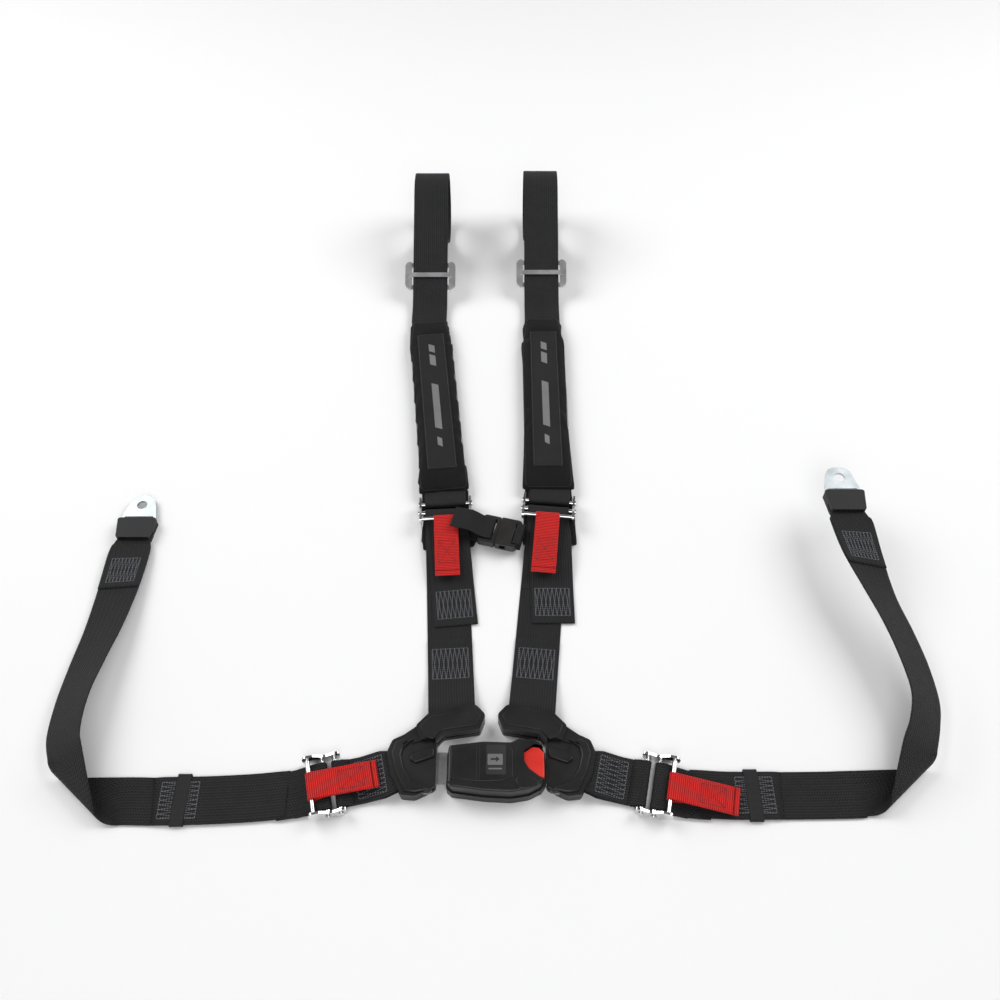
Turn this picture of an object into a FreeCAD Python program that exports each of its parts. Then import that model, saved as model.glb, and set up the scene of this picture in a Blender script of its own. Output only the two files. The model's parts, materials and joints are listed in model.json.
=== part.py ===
import FreeCAD, Part
import os
from math import cos, radians, sin, tan
from FreeCAD import Placement, Rotation, Vector

# A four-point racing harness laid out flat: two padded shoulder straps, two lap straps, a push-button
# buckle and a chest clip. Millimetres. +X is the harness's left-to-right as it lies, +Y runs from the
# buckle towards the shoulder loops, +Z is up from the surface it lies on.

doc = FreeCAD.newDocument("racing_harness")

DIMENSIONS = [
    ("web_width", 50.0, "width of the shoulder and lap webbing"),
    ("web_thick", 1.5, "thickness of one ply of webbing"),
    ("ply_gap", 0.2, "gap between two plies that lie together"),
    ("bar_radius", 2.5, "fixed bar of an adjuster"),
    ("grip_radius", 3.0, "knurled grip bar of an adjuster"),
    ("grip_end_radius", 2.0, "end of the grip bar, in its slots"),
    ("lift_radius", 2.4, "lift bar of an adjuster"),
    ("grip_reach", 13.0, "fixed bar to grip bar"),
    ("grip_play", 1.2, "travel of the grip bar in its slots"),
    ("lift_reach", 27.0, "fixed bar to lift bar, along the strap"),
    ("lift_rise", 7.5, "fixed bar to lift bar, upwards"),
    ("cheek_inside", 29.0, "middle of an adjuster to the inside of its cheek"),
    ("cheek_thick", 2.5, "thickness of an adjuster's cheek"),
    ("eye_play", 0.15, "radial play of webbing sewn round a bar"),
    ("tab_width", 29.0, "width of a pull tab"),
    ("tab_thick", 3.0, "two plies of pull tab webbing"),
    ("shoulder_tab_length", 78.0, "lift bar to the end of a shoulder pull tab"),
    ("lap_tab_length", 68.0, "lift bar to the end of a lap pull tab"),
    ("pad_width", 72.0, "width of a shoulder pad"),
    ("pad_neck", 58.0, "width of a shoulder pad at its top end"),
    ("pad_base_thick", 6.7, "thickness of a pad's lower layer"),
    ("pad_cover_thick", 6.6, "thickness of a pad's upper layer"),
    ("pad_flap", 66.0, "adjuster bar to the lower end of the pad"),
    ("cover_stop", 14.0, "adjuster bar to the lower end of the pad's upper layer"),
    ("label_width", 38.0, "width of the patch on a pad"),
    ("label_length", 246.0, "length of the patch on a pad"),
    ("label_thick", 1.0, "thickness of the patch on a pad"),
    ("slide_width", 73.0, "outside width of a three-bar slide"),
    ("slide_length", 40.0, "length of a three-bar slide along the webbing"),
    ("slide_bar", 6.5, "width of each bar of a three-bar slide"),
    ("slide_slope", 30.0, "slope of the loop's front strand, in degrees"),
    ("hole_radius", 6.25, "bolt hole of an end tab"),
    ("end_tab_thick", 3.0, "thickness of an end tab"),
    ("end_tab_width", 42.0, "width of an end tab at its slot"),
    ("link_thick", 2.5, "thickness of a bracket's steel plate"),
    ("bracket_low_thick", 6.0, "thickness of a bracket's lower cover"),
    ("bracket_top", 17.0, "height of a bracket's arm"),
    ("tongue_width", 34.0, "width of the tongue's blade"),
    ("buckle_split", 12.0, "height where the buckle's two shells meet"),
    ("buckle_top", 27.0, "height of the buckle"),
    ("shell_wall", 2.0, "wall of the buckle's shells"),
    ("clip_web", 30.0, "width of the chest webbing"),
    ("clip_width", 40.0, "width of the chest clip"),
]

sheet = doc.addObject("Spreadsheet::Sheet", "dimensions")
for row, (alias, value, meaning) in enumerate(DIMENSIONS, 1):
    sheet.set("A%d" % row, meaning)
    sheet.set("B%d" % row, str(value))
    sheet.setAlias("B%d" % row, alias)
doc.recompute()


def size(alias):
    """One driving dimension, read from the spreadsheet."""
    return float(sheet.get(alias))


WEB = size("web_width")
PLY = size("web_thick")
UP = Vector(0, 0, 1)
ORIGIN = Vector(5.3, 20.6, 0)     # moved to the middle of the harness's footprint

parts = []


def add(label, shape, placement=Placement()):
    """A sub-part whose shape is made from the sheet's sizes, put where it lies."""
    item = doc.addObject("Part::Feature", label)
    item.Label = label
    item.Shape = shape
    item.Placement = Placement(-ORIGIN, Rotation()).multiply(placement).multiply(shape.Placement)
    parts.append(item)
    return item


def at(x, y, z=0.0, heading=0.0):
    """A place whose local X points along heading, in degrees from +X."""
    return Placement(Vector(x, y, z), Rotation(UP, heading))


# ---- outlines and solids -------------------------------------------------------------------------


def fillet_corner(before, corner, after, radius):
    """Start, middle and end of the arc that rounds a corner."""
    back = (before - corner).normalize()
    on = (after - corner).normalize()
    half = back.getAngle(on) / 2
    trim = radius / tan(half)
    middle = (back + on).normalize() * (radius / sin(half) - radius)
    return corner + back * trim, corner + middle, corner + on * trim


def outline(points, radius, level=0.0):
    """Edges of a closed outline of (x, y) points whose corners are rounded."""
    corners = [Vector(x, y, level) for x, y in points]
    radii = radius if isinstance(radius, list) else [radius] * len(corners)
    arcs = [
        fillet_corner(corners[i - 1], corners[i], corners[(i + 1) % len(corners)], radii[i])
        for i in range(len(corners))
    ]
    edges = []
    for i, (start, middle, end) in enumerate(arcs):
        previous = arcs[i - 1][2]
        if previous.distanceToPoint(start) > 1e-6:
            edges.append(Part.LineSegment(previous, start))
        edges.append(Part.Arc(start, middle, end))
    return edges


def slab(points, radius, low, high):
    """A flat solid between two levels."""
    wire = Part.Wire([edge.toShape() for edge in outline(points, radius, low)])
    return Part.Face(wire).extrude(Vector(0, 0, high - low))


def box(low, high):
    """A box between two corners."""
    return Part.makeBox(high[0] - low[0], high[1] - low[1], high[2] - low[2], Vector(*low))


def crossbar(radius, x, z, half):
    """A round bar along local Y."""
    return Part.makeCylinder(radius, 2 * half, Vector(x, -half, z), Vector(0, 1, 0))


def strip(points, radii, thick):
    """Side view of a ply: its middle line is (along, height) points joined by tangent arcs."""
    line = [Vector(a, 0, z) for a, z in points]
    runs = [(b - a).normalize() for a, b in zip(line, line[1:])]
    side = [Vector(-run.z, 0, run.x) for run in runs]
    half = thick / 2
    edges = {1: [], -1: []}
    now = {k: line[0] + side[0] * (half * k) for k in edges}
    for i in range(1, len(line) - 1):
        turn = runs[i - 1].x * runs[i].z - runs[i - 1].z * runs[i].x
        bend = 1 if turn > 0 else -1
        radius = radii[i - 1]
        trim = radius * tan(runs[i - 1].getAngle(runs[i]) / 2)
        begin = line[i] - runs[i - 1] * trim
        end = line[i] + runs[i] * trim
        centre = begin + side[i - 1] * (bend * radius)
        middle = (side[i - 1] + side[i]).normalize()
        for k in edges:
            first = begin + side[i - 1] * (half * k)
            last = end + side[i] * (half * k)
            bulge = centre - middle * (bend * (radius - bend * k * half))
            edges[k].append(Part.LineSegment(now[k], first).toShape())
            edges[k].append(Part.Arc(first, bulge, last).toShape())
            now[k] = last
    for k in edges:
        finish = line[-1] + side[-1] * (half * k)
        edges[k].append(Part.LineSegment(now[k], finish).toShape())
        now[k] = finish
    start = Part.LineSegment(line[0] - side[0] * half, line[0] + side[0] * half).toShape()
    close = Part.LineSegment(now[1], now[-1]).toShape()
    return Part.Face(Part.Wire([start] + edges[1] + [close] + edges[-1][::-1]))


def band(points, radii, width=WEB, thick=PLY):
    """A ply of webbing that keeps to one vertical plane."""
    face = strip(points, radii, thick)
    face.translate(Vector(0, -width / 2, 0))
    return face.extrude(Vector(0, width, 0))


def eye(x, z, inner, thick, width=WEB):
    """A tube of webbing round a bar."""
    return crossbar(inner + thick, x, z, width / 2).cut(crossbar(inner, x, z, width))


def ribbon(stations, thick=PLY):
    """A ply through stations of (middle, direction across the ply, its upper side, width)."""
    sections = []
    for middle, across, face, width in stations:
        out = Vector(across).normalize() * (width / 2)
        lift = Vector(face).normalize() * (thick / 2)
        corners = [middle - out - lift, middle + out - lift, middle + out + lift, middle - out + lift]
        sections.append(Part.makePolygon(corners + corners[:1]))
    return Part.makeLoft(sections, True, True)


def body_pad(label, shapes, length, placement, plane="XY_Plane"):
    """A PartDesign body: closed outlines on one sketch, padded by a dimension of the sheet."""
    body = doc.addObject("PartDesign::Body", label)
    body.Label = label
    sketch = body.newObject("Sketcher::SketchObject", label + "_sketch")
    origin_planes = [f for f in body.Origin.OriginFeatures if f.Role == plane]
    sketch.AttachmentSupport = [(origin_planes[0], "")]
    sketch.MapMode = "FlatFace"
    for shape in shapes:
        sketch.addGeometry(shape, False)
    pad = body.newObject("PartDesign::Pad", label + "_pad")
    pad.Profile = sketch
    pad.setExpression("Length", "dimensions." + length)
    body.Placement = Placement(-ORIGIN, Rotation()).multiply(placement)
    parts.append(body)
    doc.recompute()
    return body


# ---- adjusters -----------------------------------------------------------------------------------
# Local frame of an adjuster: the fixed bar is along Y through the origin, and +X runs along the
# adjustable strap, away from the strap sewn to the fixed bar.

GRIP_X = size("grip_reach")
LIFT_X = size("lift_reach")
LIFT_Z = size("lift_rise")
ROLL_INSIDE = size("grip_radius") + size("eye_play") + 0.1
ROLL_OUTSIDE = ROLL_INSIDE + PLY
CHEEK_REST = 4.5                  # the cheek's lower edge, below the bars' axis
PLY_LOW = -ROLL_OUTSIDE + PLY / 2     # middle of the ply that runs in under the grip bar


def adjuster_frame():
    """Two cheeks joined by the fixed bar and the lift bar."""
    inside = size("cheek_inside")
    outside = inside + size("cheek_thick")
    side = [
        (-5.5, -CHEEK_REST), (21, -CHEEK_REST), (32, 2), (32.5, 12.5),
        (21.5, 12.5), (10, 6.5), (-1, 9), (-6.5, 9),
    ]
    cheek = slab(side, [4, 5, 4, 4, 4, 8, 3, 2.5], 0, size("cheek_thick"))
    play = size("grip_play")
    slot = slab(
        [
            (GRIP_X - 2.1, -2.1), (GRIP_X + 2.1 + play, -2.1),
            (GRIP_X + 2.1 + play, 2.1), (GRIP_X - 2.1, 2.1),
        ],
        2.05, -1, size("cheek_thick") + 1,
    )
    cheek = cheek.cut(slot)
    cheek.rotate(Vector(), Vector(1, 0, 0), 90)
    near = cheek.translated(Vector(0, -inside, 0))
    far = cheek.translated(Vector(0, outside, 0))
    bar = crossbar(size("bar_radius"), 0, 0, inside + 0.5)
    lift = crossbar(size("lift_radius"), LIFT_X, LIFT_Z, inside + 0.5)
    studs = [crossbar(size("bar_radius") + 1.2, 0, 0, outside + 1.2).cut(crossbar(20, 0, 0, outside - 0.5))]
    return near.fuse([far, bar, lift] + studs).removeSplitter()


def grip_bar():
    """The knurled bar, with thinner ends that ride in the cheeks' slots, and their heads."""
    inside = size("cheek_inside")
    outside = inside + size("cheek_thick")
    middle = crossbar(size("grip_radius"), GRIP_X, 0, inside - 0.4)
    ends = crossbar(size("grip_end_radius"), GRIP_X, 0, outside + 2)
    heads = crossbar(size("grip_radius"), GRIP_X, 0, outside + 2)
    heads = heads.cut(crossbar(20, GRIP_X, 0, outside + 0.4))
    return middle.fuse([ends, heads]).removeSplitter()


def strap_roll():
    """The adjustable webbing where it turns round the grip bar, with a short run each side."""
    turn = eye(GRIP_X, 0, ROLL_INSIDE, PLY)
    keep = box((GRIP_X - 10, -40, -10), (GRIP_X, 40, 10))
    reach = GRIP_X + 6
    low = box((GRIP_X, -WEB / 2, -ROLL_OUTSIDE), (reach, WEB / 2, -ROLL_INSIDE))
    high = box((GRIP_X, -WEB / 2, ROLL_INSIDE), (reach, WEB / 2, ROLL_OUTSIDE))
    return turn.common(keep).fuse([low, high]).removeSplitter()


def pull_tab(length, direction, droop):
    """Red webbing doubled round the lift bar; direction is +1 outward or -1 over the frame."""
    inner = size("lift_radius") + size("eye_play")
    width = size("tab_width")
    loop = crossbar(inner + PLY, LIFT_X, LIFT_Z, width / 2)
    top = LIFT_Z + inner + PLY
    strap = box((LIFT_X, -width / 2, top - size("tab_thick")), (LIFT_X + length, width / 2, top))
    if direction < 0:
        strap = strap.mirror(Vector(LIFT_X, 0, 0), Vector(1, 0, 0))
    tab = loop.fuse(strap).cut(crossbar(inner, LIFT_X, LIFT_Z, 40)).removeSplitter()
    tab.rotate(Vector(LIFT_X, 0, LIFT_Z), Vector(0, 1, 0), droop * direction)
    return tab


def add_adjuster(name, place, tab_length, tab_direction, droop):
    """The pieces of one tilt-lock adjuster."""
    add(name + "_adjuster_frame", adjuster_frame(), place)
    add(name + "_grip_bar", grip_bar(), place)
    add(name + "_strap_roll", strap_roll(), place)
    add(name + "_pull_tab", pull_tab(tab_length, tab_direction, droop), place)


# ---- shoulder straps -----------------------------------------------------------------------------
# Each shoulder has a line from its adjuster up the pad to the loop, and one from the adjuster down
# to the bracket. Local X of both points from the adjuster towards the bracket.

SHOULDER_BAR_Z = size("pad_base_thick") + 5.7
STRAP_Z = SHOULDER_BAR_Z - size("bar_radius") - size("eye_play") - PLY / 2
PAD_LENGTH_UP = 337.0             # adjuster bar to the pad's upper end
LOOP_SLOPE = radians(size("slide_slope"))
LOOP_FOOT = 32.0                  # the pad's end to the foot of the loop's slope
SLIDE_ALONG = 40.0                # the foot of the slope to the slide's middle


class Side:
    """Where one side's shoulder strap, bracket and lap strap lie."""

    def __init__(self, name, mirror, bar, pad_heading, low_heading, low_length):
        self.name = name
        self.mirror = mirror
        self.bar = bar
        self.pad_heading = pad_heading
        self.low_heading = low_heading
        self.low_length = low_length


left = Side("left", 1, (-58.0, -75.0), -84.1, -86.75, 289.5)
right = Side("right", -1, (69.5, -71.0), -90.0, -95.4, 294.3)


def rise(along):
    """Height of the loop's front strand, at a distance past the foot of its slope."""
    return STRAP_Z + along * tan(LOOP_SLOPE)


def loop_path():
    """Middle line of the loop, from the pad's end round a harness bar and back to the slide."""
    ply = (PLY + size("ply_gap")) / cos(LOOP_SLOPE)
    points = [(1.0, STRAP_Z), (LOOP_FOOT, STRAP_Z), (LOOP_FOOT + 164.0, rise(164.0))]
    points += [(250.0, 96.0), (246.0, 12.0)]
    points += [(180.0, 5.0), (LOOP_FOOT + 90.0, rise(90.0) - ply), (LOOP_FOOT + 20.0, rise(20.0) - ply)]
    return points, [40.0, 45.0, 38.0, 40.0, 60.0, 30.0]


def shoulder_strap_upper(side):
    """One strap: sewn eye at the adjuster, the run through the pad, and the loop."""
    inner = size("bar_radius") + size("eye_play")
    run = box((-PAD_LENGTH_UP - 8, -WEB / 2, STRAP_Z - PLY / 2), (-5.5, WEB / 2, STRAP_Z + PLY / 2))
    run.Placement = at(side.bar[0], side.bar[1], 0, side.pad_heading)
    stub = box((-12, -WEB / 2, STRAP_Z - PLY / 2), (0, WEB / 2, STRAP_Z + PLY / 2))
    sewn_eye = stub.fuse(crossbar(inner + PLY, 0, SHOULDER_BAR_Z, WEB / 2))
    sewn_eye = sewn_eye.cut(crossbar(inner, 0, SHOULDER_BAR_Z, 40))
    sewn_eye.Placement = at(side.bar[0], side.bar[1], 0, side.low_heading)
    points, radii = loop_path()
    stand = band(points, radii)
    stand.Placement = loop_place(side)
    return run.fuse([sewn_eye, stand])


def pad_end(side, reach=PAD_LENGTH_UP):
    """The point on a pad's line that is reach above the adjuster bar."""
    heading = radians(side.pad_heading)
    return side.bar[0] - reach * cos(heading), side.bar[1] - reach * sin(heading)


def loop_place(side):
    """The loop's frame: local X runs straight up +Y from the pad's end."""
    x, y = pad_end(side)
    return at(x, y, 0, 90)


def pad_solid():
    """The pad's two layers: the lower one with a flap under the adjuster, the upper one over the strap."""
    top = -PAD_LENGTH_UP + 2
    half = size("pad_width") / 2
    neck = size("pad_neck") / 2
    flap = size("pad_flap")
    base_top = size("pad_base_thick")
    shape = [(top, -neck), (top + 52, -half), (flap, -half), (flap, half), (top + 52, half), (top, neck)]
    stop = -size("cover_stop")
    sleeve = [(top, -neck), (top + 52, -half), (stop, -half), (stop, half), (top + 52, half), (top, neck)]
    lower = slab(shape, [4, 60, 9, 9, 60, 4], 0.3, base_top)
    channel_top = STRAP_Z + PLY / 2 + 0.4
    upper = slab(sleeve, [4, 60, 6, 6, 60, 4], base_top, channel_top + size("pad_cover_thick"))
    side_room = WEB / 2 + 1.8
    channel = box((top - 5, -side_room, base_top - 1), (stop + 5, side_room, channel_top))
    return Part.makeCompound([lower, upper.cut(channel)])


PAD_TOP_Z = STRAP_Z + PLY / 2 + 0.4 + size("pad_cover_thick")


def add_label_patch(side):
    """The blank sewn patch along the top of the pad."""
    half = size("label_width") / 2
    corners = [(0, -half), (size("label_length"), -half), (size("label_length"), half), (0, half)]
    x, y = pad_end(side, 296.0)
    place = at(x, y, PAD_TOP_Z, side.pad_heading)
    body_pad("%s_pad_patch" % side.name, outline(corners, 3), "label_thick", place)


def slide_solid():
    """Two side plates and three bars: the middle bar over the webbing, the outer two under it."""
    half = size("slide_width") / 2
    inside = WEB / 2 + 2
    length = size("slide_length")
    side = slab([(-length / 2, inside), (length / 2, inside), (length / 2, half), (-length / 2, half)],
                [2, 2, 7, 7], -3, 3)
    plates = [side, side.mirror(Vector(), Vector(0, 1, 0))]
    wide = size("slide_bar")
    clear = PLY + size("ply_gap") / 2 + 0.4
    bars = []
    outer = (length - wide) / 2
    for x, low in ((-outer, -clear - 2.5), (0, clear), (outer, -clear - 2.5)):
        bar = box((x - wide / 2, -half + 5, low), (x + wide / 2, half - 5, low + 2.5))
        bars.append(bar)
    return plates[0].fuse([plates[1]] + bars).removeSplitter()


def slide_place(side):
    """On the doubled webbing, square to the loop's front strand."""
    x, y = pad_end(side)
    ply = (PLY + size("ply_gap")) / 2
    turn = Rotation(UP, 90).multiply(Rotation(Vector(0, 1, 0), -size("slide_slope")))
    y += LOOP_FOOT + SLIDE_ALONG + ply * sin(LOOP_SLOPE)
    return Placement(Vector(x, y, rise(SLIDE_ALONG) - ply * cos(LOOP_SLOPE)), turn)


def shoulder_strap_lower(side):
    """One strap: the run up from the bracket, and the sewn tail that comes back over it."""
    end = side.low_length
    flap = size("pad_flap")
    low_ply = SHOULDER_BAR_Z + PLY_LOW
    floor_ply = PLY / 2 + 0.2
    points = [(GRIP_X + 8, low_ply), (flap + 6, low_ply), (flap + 46, floor_ply), (end - 60, floor_ply)]
    points += [(end - 22, BRACKET_PLY_LOW), (end + 2, BRACKET_PLY_LOW)]
    run = band(points, [60, 60, 60, 60])
    bend = BRACKET_PLATE_Z
    turn = eye(end + 2, bend, BRACKET_EYE, PLY).common(box((end + 2, -40, -5), (end + 20, 40, 30)))
    high = 2 * bend - BRACKET_PLY_LOW
    back = [(end + 2, high), (end - 20, high), (end - 60, PLY * 1.5 + 0.15), (end - 100, PLY * 1.5 + 0.15)]
    sewn = band(back, [40, 40])
    over = PLY - 0.05
    tail_start = GRIP_X + 26
    above = low_ply + over
    tail = [(tail_start, above + 1.2), (tail_start + 10, above), (flap + 6, above)]
    tail += [(flap + 46, PLY * 1.5 + 0.15), (168.0, PLY * 1.5 + 0.15)]
    flap_end = band(tail, [30, 60, 60])
    return run.fuse([turn, sewn, flap_end]).removeSplitter()


# Where the right strap is divided, so that its foot can leave with the tongue.
FOOT_SPLIT_Y = -255.0


def add_lower_strap(side):
    """The strap below an adjuster; the right one is in two solids, one for each side of the buckle."""
    strap = shoulder_strap_lower(side)
    strap.Placement = at(side.bar[0], side.bar[1], 0, side.low_heading)
    if side.mirror > 0:
        add("left_shoulder_strap_lower", strap)
        return
    for label, low, high in (("lower", FOOT_SPLIT_Y + 0.3, 0), ("foot", -500, FOOT_SPLIT_Y - 0.3)):
        add("right_shoulder_strap_" + label, strap.common(box((-200, low, -50), (200, high, 100))))


# ---- brackets ------------------------------------------------------------------------------------
# Where the shoulder strap, the lap strap and the buckle meet. Modelled for the left; the right one
# is its mirror image.

BRACKET_LOW = size("bracket_low_thick")
BRACKET_PLATE_Z = BRACKET_LOW + 0.3 + size("link_thick") / 2
BRACKET_EYE = size("link_thick") / 2 + 0.6
BRACKET_PLY_LOW = BRACKET_PLATE_Z - BRACKET_EYE - PLY / 2

BRACKET_OUTLINE = [
    (-66, -357), (-17, -347), (-6, -359), (-12, -375), (-50, -381), (-56.5, -389), (-56.5, -436),
    (-77, -446.5), (-91, -445), (-103, -422), (-108, -400), (-103, -386), (-91, -380), (-79, -371),
]
BRACKET_ROUND = [3, 6, 6, 3, 6, 4, 4, 10, 4, 8, 8, 6, 4, 4]
ARM_OUTLINE = [
    (-66, -357), (-17, -347), (-6, -359), (-12, -375), (-50, -381), (-59, -392), (-72, -390), (-79, -371),
]
ARM_ROUND = [3, 6, 6, 3, 6, 4, 4, 4]


def mirrored(shape, side):
    """The shape itself for the left, its mirror image for the right."""
    if side.mirror > 0:
        return shape
    return shape.mirror(Vector(), Vector(1, 0, 0))


def strap_mouths(low, high):
    """Room for the ends of the two straps, open at the shoulder edge and at the lap edge."""
    shoulder = box((-69.5, -374, low), (-16, -340, high))
    lap = box((-42, -26.5, low), (6, 26.5, high))
    lap.Placement = LAP_ROOT
    return [shoulder, lap]


LAP_SLOPE = 12.5
LAP_ROOT_WIDTH = 44.0             # the webbing is drawn in a little where it passes the plate's slot
LAP_ROOT = at(-88.0, -415.8, 0, 180 + LAP_SLOPE).multiply(at(0, 0, 0, 180))


def bracket_lower():
    """The lower cover, a tray under the plate and the straps."""
    solid = slab(BRACKET_OUTLINE, BRACKET_ROUND, 0.3, BRACKET_LOW)
    for room in strap_mouths(BRACKET_PLY_LOW - PLY / 2 - 0.5, 30):
        solid = solid.cut(room)
    return solid.removeSplitter()


def bracket_upper():
    """The upper cover: a low body with a raised arm over the shoulder strap's end."""
    floor = BRACKET_LOW + size("link_thick") + 0.6
    body = slab(BRACKET_OUTLINE, BRACKET_ROUND, BRACKET_LOW + 0.15, 13.5)
    arm = slab(ARM_OUTLINE, ARM_ROUND, BRACKET_LOW + 0.15, size("bracket_top"))
    solid = body.fuse(arm).removeSplitter()
    corners = [(-97, -443), (-50, -443), (-50, -381), (-13, -376), (-13, -359.5), (-71, -359.5), (-99, -392)]
    room = slab(corners, 0.5, BRACKET_LOW - 1, floor)
    solid = solid.cut(room)
    high = 2 * BRACKET_PLATE_Z - BRACKET_PLY_LOW + PLY / 2 + 0.5
    for mouth in strap_mouths(0, high):
        solid = solid.cut(mouth)
    groove = slab([(-83, -390), (-58, -383), (-58, -394), (-80, -402)], 1.5, 12.4, 20)
    return solid.cut(groove).removeSplitter()


PLATE_BODY = [
    (-70.5, -360), (-13.5, -360), (-13.5, -374.5), (-52, -379.5), (-58, -386), (-58, -398),
    (-30, -398), (-30, -432), (-58, -432), (-62, -442), (-92, -442), (-98.5, -418), (-92, -384), (-74, -377),
]


def bracket_plate(reach):
    """The steel plate in a bracket, with a slot for each strap; its tang runs reach to the buckle."""
    body = [(reach, y) if x == -30 else (x, y) for x, y in PLATE_BODY]
    low = BRACKET_LOW + 0.3
    plate = slab(body, 0.8, low, low + size("link_thick"))
    shoulder = box((-68, -372.7, 0), (-15.3, -364.4, 30))
    lap = box((-1.2, -LAP_ROOT_WIDTH / 2 - 1, 0), (7.2, LAP_ROOT_WIDTH / 2 + 1, 30))
    lap.Placement = LAP_ROOT
    return plate.cut(shoulder).cut(lap).removeSplitter()


def add_bracket(side):
    """The two covers of one bracket."""
    add("%s_bracket_lower_cover" % side.name, mirrored(bracket_lower(), side))
    add("%s_bracket_upper_cover" % side.name, mirrored(bracket_upper(), side))


# ---- lap straps ----------------------------------------------------------------------------------

LAP_BAR_Z = 6.0
LAP_INNER = 70.0                  # bracket eye to adjuster bar
LAP_PLY = LAP_BAR_Z + PLY_LOW     # middle of the lower ply as it lies on the floor
FOLD_RADIUS = 8.0
FOLD_LEAN = 40.0                  # the fold's axis, from the strap's own line, in degrees
FOLD_TURN = 140.0                 # how far the ply turns round that axis
FOLD_STEPS = 7
TAB_EYE = 3.1                     # inside radius of the webbing round an end tab's bar
TAB_EYE_WIDTH = 32.0


def lap_adjuster_place(side):
    """The adjuster's frame: local X runs outward along the strap."""
    heading = 180 + LAP_SLOPE if side.mirror > 0 else -LAP_SLOPE
    turn = radians(heading)
    x = -88.0 * side.mirror + LAP_INNER * cos(turn)
    return at(x, -415.8 + LAP_INNER * sin(turn), LAP_BAR_Z, heading)


def lap_strap_inner(side):
    """A short strap sewn round the bracket's plate and round the adjuster's fixed bar."""
    inner = size("bar_radius") + size("eye_play")
    low = -inner - PLY / 2
    root = BRACKET_PLATE_Z - LAP_BAR_Z
    low_root = root - BRACKET_EYE - PLY / 2
    high_root = root + BRACKET_EYE + PLY / 2
    start = -LAP_INNER
    run = band([(start, low_root), (start + 20, low_root), (start + 48, low), (0, low)], [40, 40])
    turn = eye(start, root, BRACKET_EYE, PLY).common(box((start - 20, -40, -20), (start, 40, 20)))
    sewn = band([(start, high_root), (start + 20, high_root), (start + 44, low + PLY - 0.05),
                 (start + 56, low + PLY - 0.05)], [20, 20])
    loop = crossbar(inner + PLY, 0, 0, WEB / 2)
    strap = run.fuse([turn, sewn, loop]).cut(crossbar(inner, 0, 0, 40))
    for hand in (-1, 1):
        edge = LAP_ROOT_WIDTH / 2 * hand
        corner = box((start - 10, min(edge, 30 * hand), -20), (start + 12, max(edge, 30 * hand), 20))
        strap = strap.cut(corner)
    strap = strap.removeSplitter()
    strap.Placement = lap_adjuster_place(side)
    return strap


class LapRoute:
    """One lap strap beyond its adjuster: along the floor, round a soft fold, and up to the end tab."""

    def __init__(self, floor, fold, climb, tab_end, tail_end):
        self.floor = floor        # (x, y) of the middle line on the floor
        self.fold = fold          # (x, y) where the middle line leaves the floor
        self.climb = climb        # (x, y, z, tilt in degrees) after the fold
        self.tab_end = tab_end    # (x, y, z) of the end tab's bar
        self.tail_end = tail_end  # x where the sewn tail ends


LAP_ROUTES = {
    "left": LapRoute(
        [(-206, -440.6), (-242, -444), (-289, -446.5), (-337, -447.5), (-366, -447)],
        (-403, -447.5),
        [(-432.5, -410, 28, 29), (-441, -385, 27.5, 30), (-443.5, -343, 24, 29), (-441, -298, 18, 23),
         (-436, -250, 13, 16), (-433.5, -200, 9, 8), (-433, -150, 6.8, 2)],
        (-432.5, -101, 6.6), -340,
    ),
    "right": LapRoute(
        [(206, -439.5), (242, -441.5), (289, -441.5), (337, -441), (372, -440)],
        (408, -438),
        [(437.5, -401, 28.5, 30), (449, -375, 30, 36), (456, -345, 32, 37), (452, -305, 37, 34),
         (443, -265, 42, 32), (431, -225, 47, 28), (421, -180, 53, 14), (416, -138, 58, 3)],
        (414, -100, 60), 294,
    ),
}


def along_adjuster(side, distance):
    """The point on the floor that lies distance outward of the adjuster's bar."""
    place = lap_adjuster_place(side)
    return place.multVec(Vector(distance, 0, -LAP_BAR_Z))


def floor_stations(side, points, level):
    """Stations of a ply that lies flat, square to its own line."""
    spots = [Vector(p.x, p.y, level) for p in points]
    stations = []
    for i, spot in enumerate(spots):
        ahead = spots[min(i + 1, len(spots) - 1)] - spots[max(i - 1, 0)]
        across = Vector(ahead.y, -ahead.x, 0) * side.mirror
        stations.append((spot, across, UP, WEB))
    return stations


def fold_stations(side, route):
    """The ply wraps round a slanting axis, so that it turns up and away; sections lie along the axis."""
    lean = radians(FOLD_LEAN)
    axis = Vector(-cos(lean) * side.mirror, sin(lean), 0)
    out = Vector(-sin(lean) * side.mirror, -cos(lean), 0)
    stations = []
    for step in range(FOLD_STEPS + 1):
        turn = radians(FOLD_TURN * step / FOLD_STEPS)
        middle = Vector(route.fold[0], route.fold[1], LAP_PLY)
        middle = middle + axis * (FOLD_RADIUS * turn / tan(lean)) + out * (FOLD_RADIUS * sin(turn))
        middle = middle + UP * (FOLD_RADIUS * (1 - cos(turn)))
        face = UP * cos(turn) - out * sin(turn)
        stations.append((middle, axis, face, WEB / sin(lean)))
    return stations


def climb_stations(side, route):
    """From the fold to the end tab the ply untwists and narrows into the tab's slot."""
    stations = []
    for x, y, z, tilt in route.climb:
        angle = radians(tilt)
        across = Vector(-cos(angle) * side.mirror, 0, -sin(angle))
        face = Vector(sin(angle) * side.mirror, 0, -cos(angle))
        stations.append((Vector(x, y, z), across, face, WEB))
    x, y, z = route.tab_end
    flat = (Vector(-side.mirror, 0, 0), UP * -1)
    stations.append((Vector(x, y - 32, z), flat[0], flat[1], WEB - 4))
    stations.append((Vector(x, y - 14, z), flat[0], flat[1], TAB_EYE_WIDTH))
    stations.append((Vector(x, y - TAB_EYE - 0.6, z), flat[0], flat[1], TAB_EYE_WIDTH))
    return stations


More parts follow.
